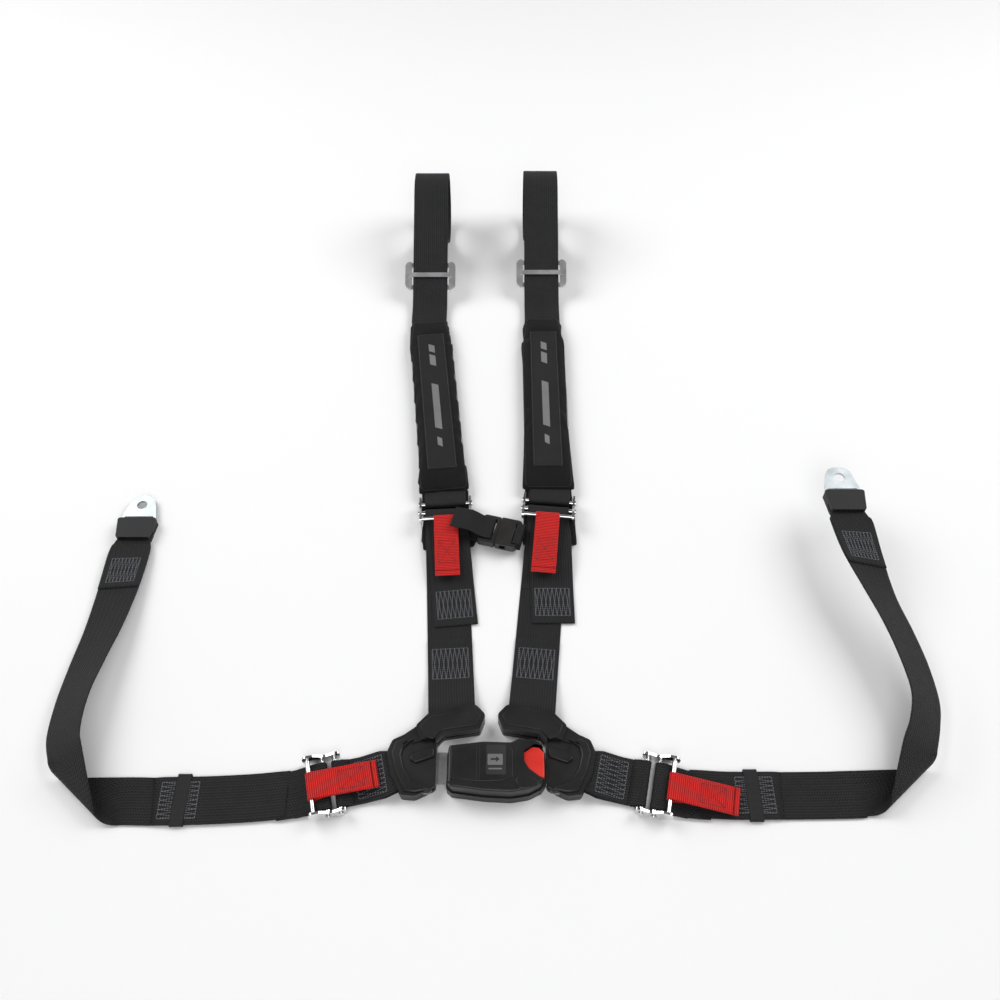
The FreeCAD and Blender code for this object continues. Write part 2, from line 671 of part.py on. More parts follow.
def end_tab_place(side):
    """The end tab's frame: its bar is the origin and local X points to the bolt hole."""
    x, y, z = LAP_ROUTES[side.name].tab_end
    return at(x, y, z, 90)


def lap_strap_outer(side):
    """One strap from the adjuster to the end tab, with its sewn tail folded back on top."""
    route = LAP_ROUTES[side.name]
    first = along_adjuster(side, GRIP_X + 8)
    floor = [first, along_adjuster(side, 38.0)] + [Vector(x, y, 0) for x, y in route.floor]
    level = floor_stations(side, floor, LAP_PLY)
    strap = ribbon(level + fold_stations(side, route) + climb_stations(side, route))
    tail_line = [along_adjuster(side, GRIP_X + 26)]
    tail_line += [p for p in floor[2:] if abs(p.x) < abs(route.tail_end)]
    tail_line.append(Vector(route.tail_end, tail_line[-1].y - 0.7, 0))
    tail = ribbon(floor_stations(side, tail_line, LAP_PLY + PLY - 0.05))
    turn = eye(0, 0, TAB_EYE, PLY, TAB_EYE_WIDTH)
    turn.Placement = end_tab_place(side)
    return strap.fuse([tail, turn])


def end_tab(side):
    """A steel tab with a bolt hole at its round end and a slot for the webbing."""
    half = size("end_tab_width") / 2
    tip = 43.0
    edge = [(-2.3, -half), (9, -half), (tip, -13), (tip, 13), (9, half), (-2.3, half)]
    low = -size("end_tab_thick") / 2
    plate = slab(edge, [2.5, 5, 13.5, 13.5, 5, 2.5], low, -low)
    slot = slab([(2.3, -17.5), (10.5, -17.5), (10.5, 17.5), (2.3, 17.5)], 1.5, -5, 5)
    hole = Part.makeCylinder(size("hole_radius"), 20, Vector(28, 0, -10))
    return plate.cut(slot).cut(hole)


def tab_boot():
    """A rubber sleeve over the sewn end of the strap and the tab's slot."""
    outer = slab([(-24, -20), (5.5, -23.5), (5.5, 23.5), (-24, 20)], 3, -6.1, 6.1)
    inner = box((-30, -TAB_EYE_WIDTH / 2 - 0.4, -5), (-3, TAB_EYE_WIDTH / 2 + 0.4, 5))
    neck = box((-30, -22.3, -1.2), (-12, 22.3, 1.2))
    mouth = box((-3.2, -21.6, -5), (6, 21.6, 5))
    return outer.cut(inner).cut(mouth).cut(neck)


def keeper(side, x):
    """An elastic loop round the two plies of the lap strap."""
    points = LAP_ROUTES[side.name].floor
    y = points[2][1]
    low = LAP_PLY - PLY / 2
    outer = box((x - 7, y - 27.5, low - 0.95), (x + 7, y + 27.5, low + 2 * PLY + 1.2))
    inner = box((x - 9, y - 26.6, low - 0.25), (x + 9, y + 26.6, low + 2 * PLY + 0.4))
    return outer.cut(inner)


# ---- buckle --------------------------------------------------------------------------------------

BUCKLE_Y = -415.0
BUCKLE_OUTLINE = [
    (-45.5, -402), (-44, -396), (-8, -391.5), (20, -392.5), (28, -388.5), (46, -389), (54, -396), (56, -408),
    (56, -432), (51, -439.5), (38, -446), (20, -449), (-8, -447.5), (-40, -443), (-45.5, -438),
]
BUCKLE_ROUND = [3, 4, 60, 6, 6, 8, 6, 8, 6, 5, 12, 30, 60, 4, 4]
WALL = size("shell_wall")
SPLIT = size("buckle_split")
PIVOT_X = -8.0                    # the latch's pivot pin
PIVOT_Z = 13.7


def inset(points, step):
    """The outline drawn in by step, towards the buckle's middle."""
    shape = Part.Wire([edge.toShape() for edge in outline(points, BUCKLE_ROUND)])
    return Part.Face(shape.makeOffset2D(-step))


def buckle_slab(step, low, high):
    """A solid of the buckle's outline, drawn in by step."""
    face = inset(BUCKLE_OUTLINE, step)
    face.translate(Vector(0, 0, low))
    return face.extrude(Vector(0, 0, high - low))


def ends_open(shell):
    """Openings in both ends for the link and the tongue."""
    half = size("tongue_width") / 2 + 0.6
    left_end = box((-60, BUCKLE_Y - half, 5.6), (-40, BUCKLE_Y + half, 9.6))
    right_end = box((48, BUCKLE_Y - half, 5.6), (70, BUCKLE_Y + half, 9.6))
    return shell.cut(left_end).cut(right_end)


def buckle_base():
    """The lower shell, an open tray."""
    return ends_open(buckle_slab(0.05, 0.3, SPLIT - 0.1).cut(buckle_slab(WALL, 0.3 + WALL, SPLIT + 5)))


WINDOW_OUTLINE = [
    (33.5, -404), (44, -396.5), (50, -397.5), (62, -402), (62, -434), (51, -433), (38, -423), (33.5, -415),
]


def buckle_cover():
    """The upper shell, with a window over the release button and a rib behind the button's spring."""
    top = size("buckle_top")
    solid = buckle_slab(1.6, SPLIT + 0.1, top)
    rim = [edge for edge in solid.Edges if edge.CenterOfMass.z > top - 0.01]
    solid = solid.makeFillet(2.6, rim)
    shell = solid.cut(buckle_slab(WALL + 1.6, SPLIT - 2, top - WALL))
    rib = box((19, BUCKLE_Y + 8, SPLIT + 1), (21, BUCKLE_Y + 17, top - 1))
    window = slab(WINDOW_OUTLINE, [3, 4, 2, 1, 1, 2, 3, 3], SPLIT + 2.5, top + 5)
    return shell.fuse(rib).cut(window).removeSplitter()


def release_button():
    """The red button, whose face lies under the cover's window."""
    face = [
        (30.5, -407), (42, -398.5), (49, -399.5), (53.8, -405),
        (53.8, -431.5), (49, -431), (38, -425.5), (30.5, -419),
    ]
    button = slab(face, [3, 4, 1.5, 1, 1.5, 1.5, 3, 3], SPLIT + 3, size("buckle_top") - WALL - 0.6)
    top = [edge for edge in button.Edges if edge.CenterOfMass.z > size("buckle_top") - WALL - 0.7]
    return button.makeFillet(0.8, top)


def coil(radius, wire, length, turns):
    """A compression spring along +Z, standing on its own base."""
    spine = Part.makeHelix((length - 2 * wire) / turns, length - 2 * wire, radius)
    spine.translate(Vector(0, 0, wire))
    section = Part.Wire([Part.makeCircle(wire, Vector(radius, 0, wire), Vector(0, 1, 0))])
    return Part.Wire(spine).makePipeShell([section], True, True)


def pawl():
    """The latch: a pivoted arm whose tooth drops into the tongue's window."""
    arm = box((PIVOT_X, BUCKLE_Y - 7, 12.7), (19.2, BUCKLE_Y + 7, 14.7))
    hub = Part.makeCylinder(3.0, 14, Vector(PIVOT_X, BUCKLE_Y - 7, PIVOT_Z), Vector(0, 1, 0))
    tooth = box((15.2, BUCKLE_Y - 6, 8.0), (19.2, BUCKLE_Y + 6, 13.5))
    hole = Part.makeCylinder(1.55, 40, Vector(PIVOT_X, BUCKLE_Y - 20, PIVOT_Z), Vector(0, 1, 0))
    return arm.fuse([hub, tooth]).cut(hole).removeSplitter()


def buckle_frame():
    """The steel channel under the tongue, with two ears for the latch's pin."""
    floor = box((-41, BUCKLE_Y - 16.5, 2.6), (48, BUCKLE_Y + 16.5, 4.6))
    shape = [floor]
    for side in (-1, 1):
        y = BUCKLE_Y + side * 16
        shape.append(box((PIVOT_X - 6, y - 1, 2.6), (PIVOT_X + 6, y + 1, PIVOT_Z + 4)))
    frame = shape[0].fuse(shape[1:])
    frame = frame.cut(Part.makeCylinder(1.5, 60, Vector(PIVOT_X, BUCKLE_Y - 30, PIVOT_Z), Vector(0, 1, 0)))
    for y in (-9, 9):
        frame = frame.cut(Part.makeCylinder(3, 20, Vector(-36, BUCKLE_Y + y, 0)))
    post = box((-24, BUCKLE_Y - 4, 4.6), (-22, BUCKLE_Y + 4, 8.8))
    return frame.fuse(post).removeSplitter()


def link_rivets():
    """Two rivets that hold the left bracket's plate to the buckle's frame."""
    solids = []
    for y in (-9, 9):
        foot = Vector(-36, BUCKLE_Y + y, 2.6)
        shank = Part.makeCylinder(3, 8.0, foot)
        collar = Part.makeCylinder(4.5, 1.7, foot + Vector(0, 0, 2.0))
        head = Part.makeCylinder(4.5, 1.8, foot + Vector(0, 0, 6.2))
        solids.append(shank.fuse([collar, head]).removeSplitter())
    return Part.makeCompound(solids)


def link_plate():
    """The left bracket's plate, riveted into the buckle."""
    plate = bracket_plate(-30)
    for y in (-9, 9):
        plate = plate.cut(Part.makeCylinder(3, 20, Vector(-36, BUCKLE_Y + y, 0)))
    return plate


def tongue_plate():
    """The right bracket's plate, whose tang is the tongue with a window for the latch."""
    plate = bracket_plate(-4).mirror(Vector(), Vector(1, 0, 0))
    return plate.cut(box((11.6, BUCKLE_Y - 8, 0), (26, BUCKLE_Y + 8, 30)))


def spring_along_x(radius, wire, turns, start, end, y, z):
    """A compression spring between two X positions."""
    item = coil(radius, wire, end - start, turns)
    item.Placement = Placement(Vector(start, y, z), Rotation(Vector(0, 1, 0), 90))
    return item


def add_buckle():
    """The buckle's shells, its latch and the springs that work it."""
    add("buckle_base", buckle_base())
    add("buckle_cover", buckle_cover())
    add("release_button", release_button())
    add("button_spring", spring_along_x(2.3, 0.4, 5, 21, 30.5, BUCKLE_Y + 6.5 + 6, 19))
    add("latch_pawl", pawl())
    add("latch_pin", Part.makeCylinder(1.5, 35, Vector(PIVOT_X, BUCKLE_Y - 17.5, PIVOT_Z), Vector(0, 1, 0)))
    latch_spring = coil(2.4, 0.4, size("buckle_top") - WALL - 14.8, 5)
    add("latch_spring", latch_spring, at(3, BUCKLE_Y, 14.7))
    add("buckle_frame", buckle_frame())
    add("link_rivets", link_rivets())
    add("ejector", box((-6, BUCKLE_Y - 10, 4.9), (3.6, BUCKLE_Y + 10, 7.8)))
    add("ejector_spring", spring_along_x(1.3, 0.35, 7, -22, -6, BUCKLE_Y, 6.4))
    plate = [(-10, -16), (10, -16), (10, 16), (-10, 16)]
    body_pad("buckle_label", outline(plate, 1.5), "label_thick",
             at(5, BUCKLE_Y + 1, size("buckle_top"), 0))


# ---- chest clip ----------------------------------------------------------------------------------
# Local X runs from the left strap to the right strap.

CLIP_Z = 13.5
CLIP_PLACE = at(7, -119, CLIP_Z, -14.5)


def clip_female():
    """The socket half, with a bar for its webbing."""
    half = size("clip_width") / 2
    shell = slab([(0, -half), (26, -half), (26, half), (0, half)], [2, 5, 5, 2], -5, 5)
    hollow = box((-1, -half + 3.5, -3), (15, half - 3.5, 3))
    window = box((19, -15.6, -8), (22.5, 15.6, 8))
    sides = box((6, -half - 1, -3), (13, half + 1, 3))
    return shell.cut(hollow).cut(window).cut(sides)


def clip_male():
    """The plug half: a ladder for its webbing and three prongs."""
    half = size("clip_width") / 2
    body = slab([(-22, -half), (-0.4, -half), (-0.4, half), (-22, half)], [4, 2, 2, 4], -4.2, 4.2)
    for x in (-18.5, -9.5):
        body = body.cut(box((x, -15.6, -8), (x + 5, 15.6, 8)))
    prongs = [slab([(-3, -2.5), (12, -2), (12, 2), (-3, 2.5)], 0.5, -2.4, 2.4)]
    for s in (-1, 1):
        points = [(-3, s * 10.5), (10, s * 9.5), (12, s * 12), (9, s * 15.6), (-3, s * 15.2)]
        prongs.append(slab(points, [0.5, 1, 1, 1, 0.5], -2.4, 2.4))
    return body.fuse(prongs).removeSplitter()


def chest_strap_left():
    """Webbing that comes up through the plug's ladder and lies back over the left strap."""
    width = size("clip_web")
    points = [(-56, 14.2), (-34, 14.2), (-17, 5.6), (-9, 5.6)]
    over = band(points, [14, 14], width)
    under = band([(-33, -5.2), (-9, -5.2)], [], width)
    turn = band([(-9.3, 5.6), (-6.9, 5.6), (-6.9, -5.2), (-9.3, -5.2)], [2, 2], width)
    return over.fuse([under, turn]).removeSplitter()


def chest_strap_right():
    """Webbing sewn round the socket's bar, running to the right strap."""
    width = size("clip_web")
    loop = band([(27.5, 5.9), (20.8, 5.9), (20.8, -5.9), (27.5, -5.9)], [1.2, 1.2], width)
    return loop.removeSplitter()


# ---- assembly ------------------------------------------------------------------------------------


def add_side(side):
    """Everything on one side of the harness."""
    name = side.name
    add("%s_shoulder_strap_upper" % name, shoulder_strap_upper(side))
    add("%s_shoulder_slide" % name, slide_solid(), slide_place(side))
    add("%s_shoulder_pad" % name, pad_solid(), at(side.bar[0], side.bar[1], 0, side.pad_heading))
    add_label_patch(side)
    bar_place = at(side.bar[0], side.bar[1], SHOULDER_BAR_Z, side.low_heading)
    add_lower_strap(side)
    add_adjuster("%s_shoulder" % name, bar_place, size("shoulder_tab_length"), 1, 7.5)
    add_bracket(side)
    add("%s_lap_strap_inner" % name, lap_strap_inner(side))
    droop = 3.0 if side.mirror > 0 else 5.0
    add_adjuster("%s_lap" % name, lap_adjuster_place(side), size("lap_tab_length"), -side.mirror, droop)
    add("%s_lap_strap_outer" % name, lap_strap_outer(side))
    add("%s_strap_keeper" % name, keeper(side, -314 if side.mirror > 0 else 266))
    add("%s_end_tab" % name, end_tab(side), end_tab_place(side))
    add("%s_tab_boot" % name, tab_boot(), end_tab_place(side))


add_side(left)
add_side(right)
add("left_link_plate", link_plate())
add("tongue_plate", tongue_plate())
add_buckle()
add("chest_clip_plug", clip_male(), CLIP_PLACE)
add("chest_clip_socket", clip_female(), CLIP_PLACE)
add("chest_strap_left", chest_strap_left(), CLIP_PLACE)
add("chest_strap_right", chest_strap_right(), CLIP_PLACE)

doc.recompute()
for item in doc.Objects:
    if "Invalid" in item.State or "Error" in item.State:
        raise RuntimeError("%s did not build" % item.Label)
faulty = [item.Label for item in parts if item.Shape.isNull() or not item.Shape.isValid()]
if faulty:
    raise RuntimeError("no valid shape: " + ", ".join(faulty))

os.makedirs("parts", exist_ok=True)
for item in parts:
    item.Shape.exportStep(os.path.join("parts", item.Label + ".step"))
    print(item.Label, len(item.Shape.Solids), round(item.Shape.Volume))
bounds = [item.Shape.BoundBox for item in parts]
for axis in "XYZ":
    low = min(getattr(b, axis + "Min") for b in bounds)
    high = max(getattr(b, axis + "Max") for b in bounds)
    print(axis, round(low, 2), round(high, 2))
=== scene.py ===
"""Looks of a racing harness laid out flat. Lengths are millimetres until they reach a mesh."""

import json
import math

import bmesh
import bpy
from mathutils import Matrix, Vector, noise
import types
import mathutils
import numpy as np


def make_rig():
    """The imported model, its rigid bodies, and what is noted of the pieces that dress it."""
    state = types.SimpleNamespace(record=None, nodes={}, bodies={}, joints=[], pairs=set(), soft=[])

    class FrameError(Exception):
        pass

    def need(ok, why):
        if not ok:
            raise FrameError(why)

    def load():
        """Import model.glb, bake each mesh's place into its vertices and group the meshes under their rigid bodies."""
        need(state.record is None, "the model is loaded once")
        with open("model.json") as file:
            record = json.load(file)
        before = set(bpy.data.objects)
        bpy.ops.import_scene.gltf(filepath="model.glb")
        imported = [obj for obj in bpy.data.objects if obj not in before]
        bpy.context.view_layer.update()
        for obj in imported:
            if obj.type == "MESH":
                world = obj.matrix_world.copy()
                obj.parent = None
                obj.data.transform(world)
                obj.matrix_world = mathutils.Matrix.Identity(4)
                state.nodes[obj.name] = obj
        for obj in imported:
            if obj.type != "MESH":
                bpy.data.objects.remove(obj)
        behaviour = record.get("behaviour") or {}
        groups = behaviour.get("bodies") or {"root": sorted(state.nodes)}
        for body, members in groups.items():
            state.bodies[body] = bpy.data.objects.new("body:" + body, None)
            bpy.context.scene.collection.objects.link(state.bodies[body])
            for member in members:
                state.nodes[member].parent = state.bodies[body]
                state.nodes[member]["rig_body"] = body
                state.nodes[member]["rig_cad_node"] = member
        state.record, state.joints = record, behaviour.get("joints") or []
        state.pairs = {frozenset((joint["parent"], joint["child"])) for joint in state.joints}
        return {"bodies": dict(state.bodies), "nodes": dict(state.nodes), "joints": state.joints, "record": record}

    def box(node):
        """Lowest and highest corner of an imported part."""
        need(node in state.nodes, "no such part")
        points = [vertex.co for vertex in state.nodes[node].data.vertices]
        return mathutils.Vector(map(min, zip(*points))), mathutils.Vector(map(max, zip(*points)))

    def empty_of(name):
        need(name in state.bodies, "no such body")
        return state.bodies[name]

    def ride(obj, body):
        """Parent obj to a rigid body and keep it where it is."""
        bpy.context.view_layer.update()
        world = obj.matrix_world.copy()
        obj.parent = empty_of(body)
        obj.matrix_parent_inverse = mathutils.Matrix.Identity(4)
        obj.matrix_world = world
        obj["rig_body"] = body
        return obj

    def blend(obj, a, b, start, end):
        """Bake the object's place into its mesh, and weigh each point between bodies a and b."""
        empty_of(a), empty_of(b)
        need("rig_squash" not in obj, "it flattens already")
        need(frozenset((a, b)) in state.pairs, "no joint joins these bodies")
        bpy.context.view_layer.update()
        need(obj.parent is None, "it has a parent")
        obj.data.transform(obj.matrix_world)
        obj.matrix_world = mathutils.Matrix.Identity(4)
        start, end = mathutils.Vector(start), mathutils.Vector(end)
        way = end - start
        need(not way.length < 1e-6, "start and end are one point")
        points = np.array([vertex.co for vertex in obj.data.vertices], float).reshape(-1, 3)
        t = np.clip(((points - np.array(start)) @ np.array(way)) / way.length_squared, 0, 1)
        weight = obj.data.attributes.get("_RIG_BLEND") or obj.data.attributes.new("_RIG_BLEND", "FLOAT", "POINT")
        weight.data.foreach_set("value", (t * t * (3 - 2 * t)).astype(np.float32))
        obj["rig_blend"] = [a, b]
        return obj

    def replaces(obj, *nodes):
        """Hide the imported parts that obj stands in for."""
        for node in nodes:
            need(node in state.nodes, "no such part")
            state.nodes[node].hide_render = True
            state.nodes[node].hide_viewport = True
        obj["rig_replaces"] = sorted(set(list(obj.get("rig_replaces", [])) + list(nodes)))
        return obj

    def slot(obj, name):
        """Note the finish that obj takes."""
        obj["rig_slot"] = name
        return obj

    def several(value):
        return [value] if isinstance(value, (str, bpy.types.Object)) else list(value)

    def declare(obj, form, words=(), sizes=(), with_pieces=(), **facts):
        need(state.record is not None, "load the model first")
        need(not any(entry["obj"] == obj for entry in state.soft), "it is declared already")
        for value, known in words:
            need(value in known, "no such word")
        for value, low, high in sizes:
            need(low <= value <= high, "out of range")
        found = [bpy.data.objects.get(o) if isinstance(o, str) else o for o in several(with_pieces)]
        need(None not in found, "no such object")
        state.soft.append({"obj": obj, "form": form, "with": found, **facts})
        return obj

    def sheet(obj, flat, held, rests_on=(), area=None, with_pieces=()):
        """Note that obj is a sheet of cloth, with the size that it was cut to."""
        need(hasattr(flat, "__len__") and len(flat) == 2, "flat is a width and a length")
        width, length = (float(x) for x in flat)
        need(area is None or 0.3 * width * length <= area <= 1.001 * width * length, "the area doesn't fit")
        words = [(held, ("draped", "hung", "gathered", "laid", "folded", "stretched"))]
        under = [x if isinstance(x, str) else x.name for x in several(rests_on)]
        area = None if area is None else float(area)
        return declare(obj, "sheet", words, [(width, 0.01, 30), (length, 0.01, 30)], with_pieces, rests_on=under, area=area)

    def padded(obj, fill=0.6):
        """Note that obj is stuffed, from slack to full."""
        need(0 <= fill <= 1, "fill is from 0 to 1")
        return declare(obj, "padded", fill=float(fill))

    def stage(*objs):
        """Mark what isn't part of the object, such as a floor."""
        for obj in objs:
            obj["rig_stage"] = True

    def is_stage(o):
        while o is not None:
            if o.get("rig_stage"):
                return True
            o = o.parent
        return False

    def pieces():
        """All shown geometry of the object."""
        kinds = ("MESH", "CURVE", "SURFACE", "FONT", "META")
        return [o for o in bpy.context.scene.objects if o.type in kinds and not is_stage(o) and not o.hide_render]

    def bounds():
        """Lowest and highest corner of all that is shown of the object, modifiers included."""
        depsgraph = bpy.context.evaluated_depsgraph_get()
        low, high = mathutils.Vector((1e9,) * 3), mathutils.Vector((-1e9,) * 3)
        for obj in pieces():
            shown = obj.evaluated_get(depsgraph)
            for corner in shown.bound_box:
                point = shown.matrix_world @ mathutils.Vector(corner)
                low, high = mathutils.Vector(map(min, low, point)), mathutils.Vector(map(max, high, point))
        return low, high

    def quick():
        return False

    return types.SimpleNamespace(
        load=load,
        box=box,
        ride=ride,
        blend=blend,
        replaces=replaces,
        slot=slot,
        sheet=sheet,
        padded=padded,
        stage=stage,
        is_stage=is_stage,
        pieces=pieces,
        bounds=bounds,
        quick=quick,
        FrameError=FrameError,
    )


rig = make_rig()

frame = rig.load()
first_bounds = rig.bounds()

UP = Vector((0, 0, 1))
ORIGIN = Vector((5.3, 20.6, 0.0))
# Webbing: widths, ply, thread radius, stitch pitch and zigzags in a box stitch.
WEB = 50.0
CHEST = 30.0
PLY = 1.45
THREAD = 0.35
WEB_STITCH = 2.7
ZIGZAGS = 4
# Adjusters: the fixed bar's height, the other bars' places and the roll's radius.
BAR_Z = 12.4
GRIP = 13.0
LIFT = Vector((27.0, 0.0, 7.5))
ROLL = 4.0
# Shoulder straps: heights of the plies, the pad's ends, and the standing loop's foot and slope.
LOW_PLY = 0.95
HIGH_PLY = 2.45
STRAP_Z = 9.0
PAD_UP = 337.0
PAD_FLAP = 66.0
PAD_STOP = -14.0
LOOP_FOOT = 32.0
LOOP_TAN = math.tan(math.radians(30))
# Lap straps: the eye in the bracket, the adjuster's height, slope and distance from the eye.
LAP_EYE = (88.0, -415.8)
LAP_Z = 6.0
LAP_PLY = 2.0
LAP_SLOPE = 12.5
LAP_INNER = 70.0
# Brackets and buckle: the plate's height, the radius of an eye in it and the cover's top.
PLATE_Z = 7.55
EYE = 2.6
BUCKLE_TOP = 27.0
# Steps of the pads' cloth simulation.
FILL_STEPS = 20


# ---- materials ----


class Shader:
    """A material's node tree, built one node at a time."""

    def __init__(self, name):
        self.material = bpy.data.materials.new(name)
        self.material.use_nodes = True
        self.tree = self.material.node_tree
        self.tree.nodes.clear()

    def node(self, kind, sockets=None, **settings):
        """A node with its settings made and its sockets set or linked."""
        made = self.tree.nodes.new(kind)
        for key, value in settings.items():
            setattr(made, key, value)
        for key, value in (sockets or {}).items():
            if isinstance(value, bpy.types.NodeSocket):
                self.tree.links.new(value, made.inputs[key])
            else:
                made.inputs[key].default_value = value
        return made

    def calc(self, operation, a, b=0.0, c=0.0):
        """The output of one math node."""
        return self.node("ShaderNodeMath", {0: a, 1: b, 2: c}, operation=operation).outputs[0]

    def noise(self, scale, detail=3.0, vector=None):
        """The value of a noise texture in the piece's own coordinates."""
        if vector is None:
            vector = self.node("ShaderNodeTexCoord").outputs["Object"]
        made = self.node("ShaderNodeTexNoise", {"Vector": vector, "Scale": scale, "Detail": detail})
        return made.outputs["Fac"]

    def ramp(self, value, low, high, start=0.3, end=0.7):
        """A colour between two, by a value."""
        made = self.node("ShaderNodeValToRGB", {"Fac": value})
        made.color_ramp.elements[0].position = start
        made.color_ramp.elements[1].position = end
        made.color_ramp.elements[0].color = (*low, 1)
        made.color_ramp.elements[1].color = (*high, 1)
        return made.outputs["Color"]

    def wave(self, value, pitch):
        """A sine wave of a value, with a pitch in the value's own unit."""
        return self.calc("SINE", self.calc("MULTIPLY", value, 2 * math.pi / pitch))

    def woven(self):
        """Distances across and along a ribbon, from UVs in millimetres."""
        uv = self.node("ShaderNodeSeparateXYZ", {0: self.node("ShaderNodeUVMap").outputs["UV"]})
        return uv.outputs[0], uv.outputs[1]

    def span(self, value, low, high):
        """A number between two, by a value from 0 to 1."""
        return self.calc("MULTIPLY_ADD", value, high - low, low)

    def bump(self, height, distance, normal=None):
        """A bump normal of a real depth in metres."""
        sockets = {"Height": height, "Distance": distance}
        if normal is not None:
            sockets["Normal"] = normal
        return self.node("ShaderNodeBump", sockets).outputs["Normal"]

    def finish(self, **inputs):
        """The surface shader and the output."""
        names = {key.replace("_", " "): value for key, value in inputs.items()}
        surface = self.node("ShaderNodeBsdfPrincipled", names)
        self.node("ShaderNodeOutputMaterial", {"Surface": surface.outputs[0]})
        return self.material


def webbing(name, dark, light, rib, twill, depth):
    """Woven webbing: ribs along the ribbon and crossing picks, from UVs in millimetres."""
    s = Shader(name)
    across, along = s.woven()
    zigzag = s.calc("ADD", along, s.calc("PINGPONG", across, rib))
    ribs = s.calc("MULTIPLY_ADD", s.wave(across, rib), 0.5, 0.5)
    picks = s.calc("MULTIPLY_ADD", s.wave(zigzag, twill), 0.5, 0.5)
    height = s.calc("MULTIPLY_ADD", picks, 0.65, s.calc("MULTIPLY", ribs, 0.35))
    wear = s.noise(60.0)
    fibre = s.bump(s.noise(2600.0, 2.0), 0.00003)
    mixed = s.calc("MULTIPLY_ADD", s.calc("SUBTRACT", wear, 0.5), 0.35, height)
    colour = s.ramp(mixed, dark, light, 0.1, 0.95)
    return s.finish(
        Base_Color=colour, Roughness=s.span(wear, 0.54, 0.72), Normal=s.bump(height, depth, fibre),
        Sheen_Weight=0.025, Sheen_Roughness=0.45, Specular_IOR_Level=0.22,
    )


def ribbed(name, dark, light, rib, depth):
    """Webbing with strong ribs across it."""
    s = Shader(name)
    across, along = s.woven()
    rows = s.calc("MULTIPLY_ADD", s.wave(along, rib), 0.5, 0.5)
    height = s.calc("MULTIPLY_ADD", s.wave(across, 0.7), 0.08, rows)
    wear = s.noise(90.0)
    mixed = s.calc("MULTIPLY_ADD", s.calc("SUBTRACT", wear, 0.5), 0.4, height)
    colour = s.ramp(mixed, dark, light, 0.05, 0.8)
    fibre = s.bump(s.noise(2400.0, 2.0), 0.00003)
    return s.finish(
        Base_Color=colour, Roughness=s.span(wear, 0.5, 0.66), Normal=s.bump(height, depth, fibre),
        Sheen_Weight=0.05, Sheen_Roughness=0.4, Specular_IOR_Level=0.28,
    )


def cloth(name, dark, light, thread, depth, rough=0.85):
    """A plain weave from the piece's own coordinates; thread is its pitch in millimetres."""
    s = Shader(name)
    place = s.node("ShaderNodeSeparateXYZ", {0: s.node("ShaderNodeTexCoord").outputs["Object"]})
    warp = s.wave(place.outputs[0], thread * 0.001)
    weft = s.wave(place.outputs[1], thread * 0.001)
    height = s.calc("MULTIPLY_ADD", s.calc("MULTIPLY", warp, weft), 0.5, 0.5)
    wear = s.noise(25.0, 5.0)
    lint = s.noise(700.0, 2.0)
    mixed = s.calc("MULTIPLY_ADD", wear, 0.6, s.calc("MULTIPLY", height, 0.4))
    colour = s.ramp(mixed, dark, light, 0.2, 0.85)
    normal = s.bump(wear, 0.0012)
    normal = s.bump(lint, 0.00006, normal)
    normal = s.bump(height, depth, normal)
    return s.finish(
        Base_Color=colour, Roughness=s.span(lint, rough - 0.05, rough + 0.08), Normal=normal,
        Sheen_Weight=0.04, Sheen_Roughness=0.5, Specular_IOR_Level=0.14,
    )


def metal(name, dark, light, rough, grain, depth=0.00002):
    """Plated or ground metal with fine scratches and a little tarnish."""
    s = Shader(name)
    where = s.node("ShaderNodeTexCoord").outputs["Object"]
    drawn = s.node("ShaderNodeMapping", {"Vector": where, "Scale": (1.0, 0.06, 1.0)}).outputs[0]
    scratches = s.noise(grain, 4.0, drawn)
    stain = s.noise(70.0, 4.0)
    rubbed = s.calc("MULTIPLY", stain, scratches)
    return s.finish(
        Base_Color=s.ramp(stain, dark, light), Roughness=s.span(rubbed, rough, rough + 0.22),
        Normal=s.bump(scratches, depth), Metallic=1.0,
    )


def plastic(name, dark, light, rough, texture, depth, coat=0.0):
    """Moulded plastic with a fine spark-eroded texture and rubbed patches."""
    s = Shader(name)
    grain = s.noise(texture, 2.0)
    rubbed = s.noise(38.0, 4.0)
    return s.finish(
        Base_Color=s.ramp(rubbed, dark, light), Roughness=s.span(rubbed, rough - 0.07, rough + 0.1),
        Normal=s.bump(grain, depth), Coat_Weight=coat, Coat_Roughness=0.25, Specular_IOR_Level=0.45,
    )


def thread_material(name, dark, light):
    """Twisted sewing thread."""
    s = Shader(name)
    lay = s.noise(1500.0, 3.0)
    return s.finish(
        Base_Color=s.ramp(lay, dark, light), Roughness=s.span(lay, 0.5, 0.7),
        Normal=s.bump(lay, 0.00008), Sheen_Weight=0.3, Specular_IOR_Level=0.3,
    )


def grey(level):
    """A neutral colour."""
    return (level, level, level)


BLACK_WEB = webbing("webbing_black", (0.0012, 0.0012, 0.0014), (0.031, 0.031, 0.033), 2.9, 2.7, 0.0006)
CHEST_WEB = webbing("webbing_chest", (0.0012, 0.0012, 0.0014), (0.024, 0.024, 0.026), 2.4, 2.2, 0.0005)
ELASTIC = ribbed("elastic_black", grey(0.004), (0.026, 0.026, 0.028), 1.2, 0.00022)
RED_WEB = ribbed("webbing_red", (0.30, 0.004, 0.004), (0.80, 0.018, 0.014), 2.1, 0.00055)
PAD_CLOTH = cloth("pad_cloth", (0.0045, 0.0042, 0.0045), (0.014, 0.013, 0.014), 0.75, 0.00012)
BASE_CLOTH = cloth("pad_base_cloth", grey(0.004), (0.012, 0.0115, 0.012), 0.6, 0.0001)
PATCH_CLOTH = cloth("patch_cloth", grey(0.012), grey(0.026), 0.45, 0.00005, 0.72)
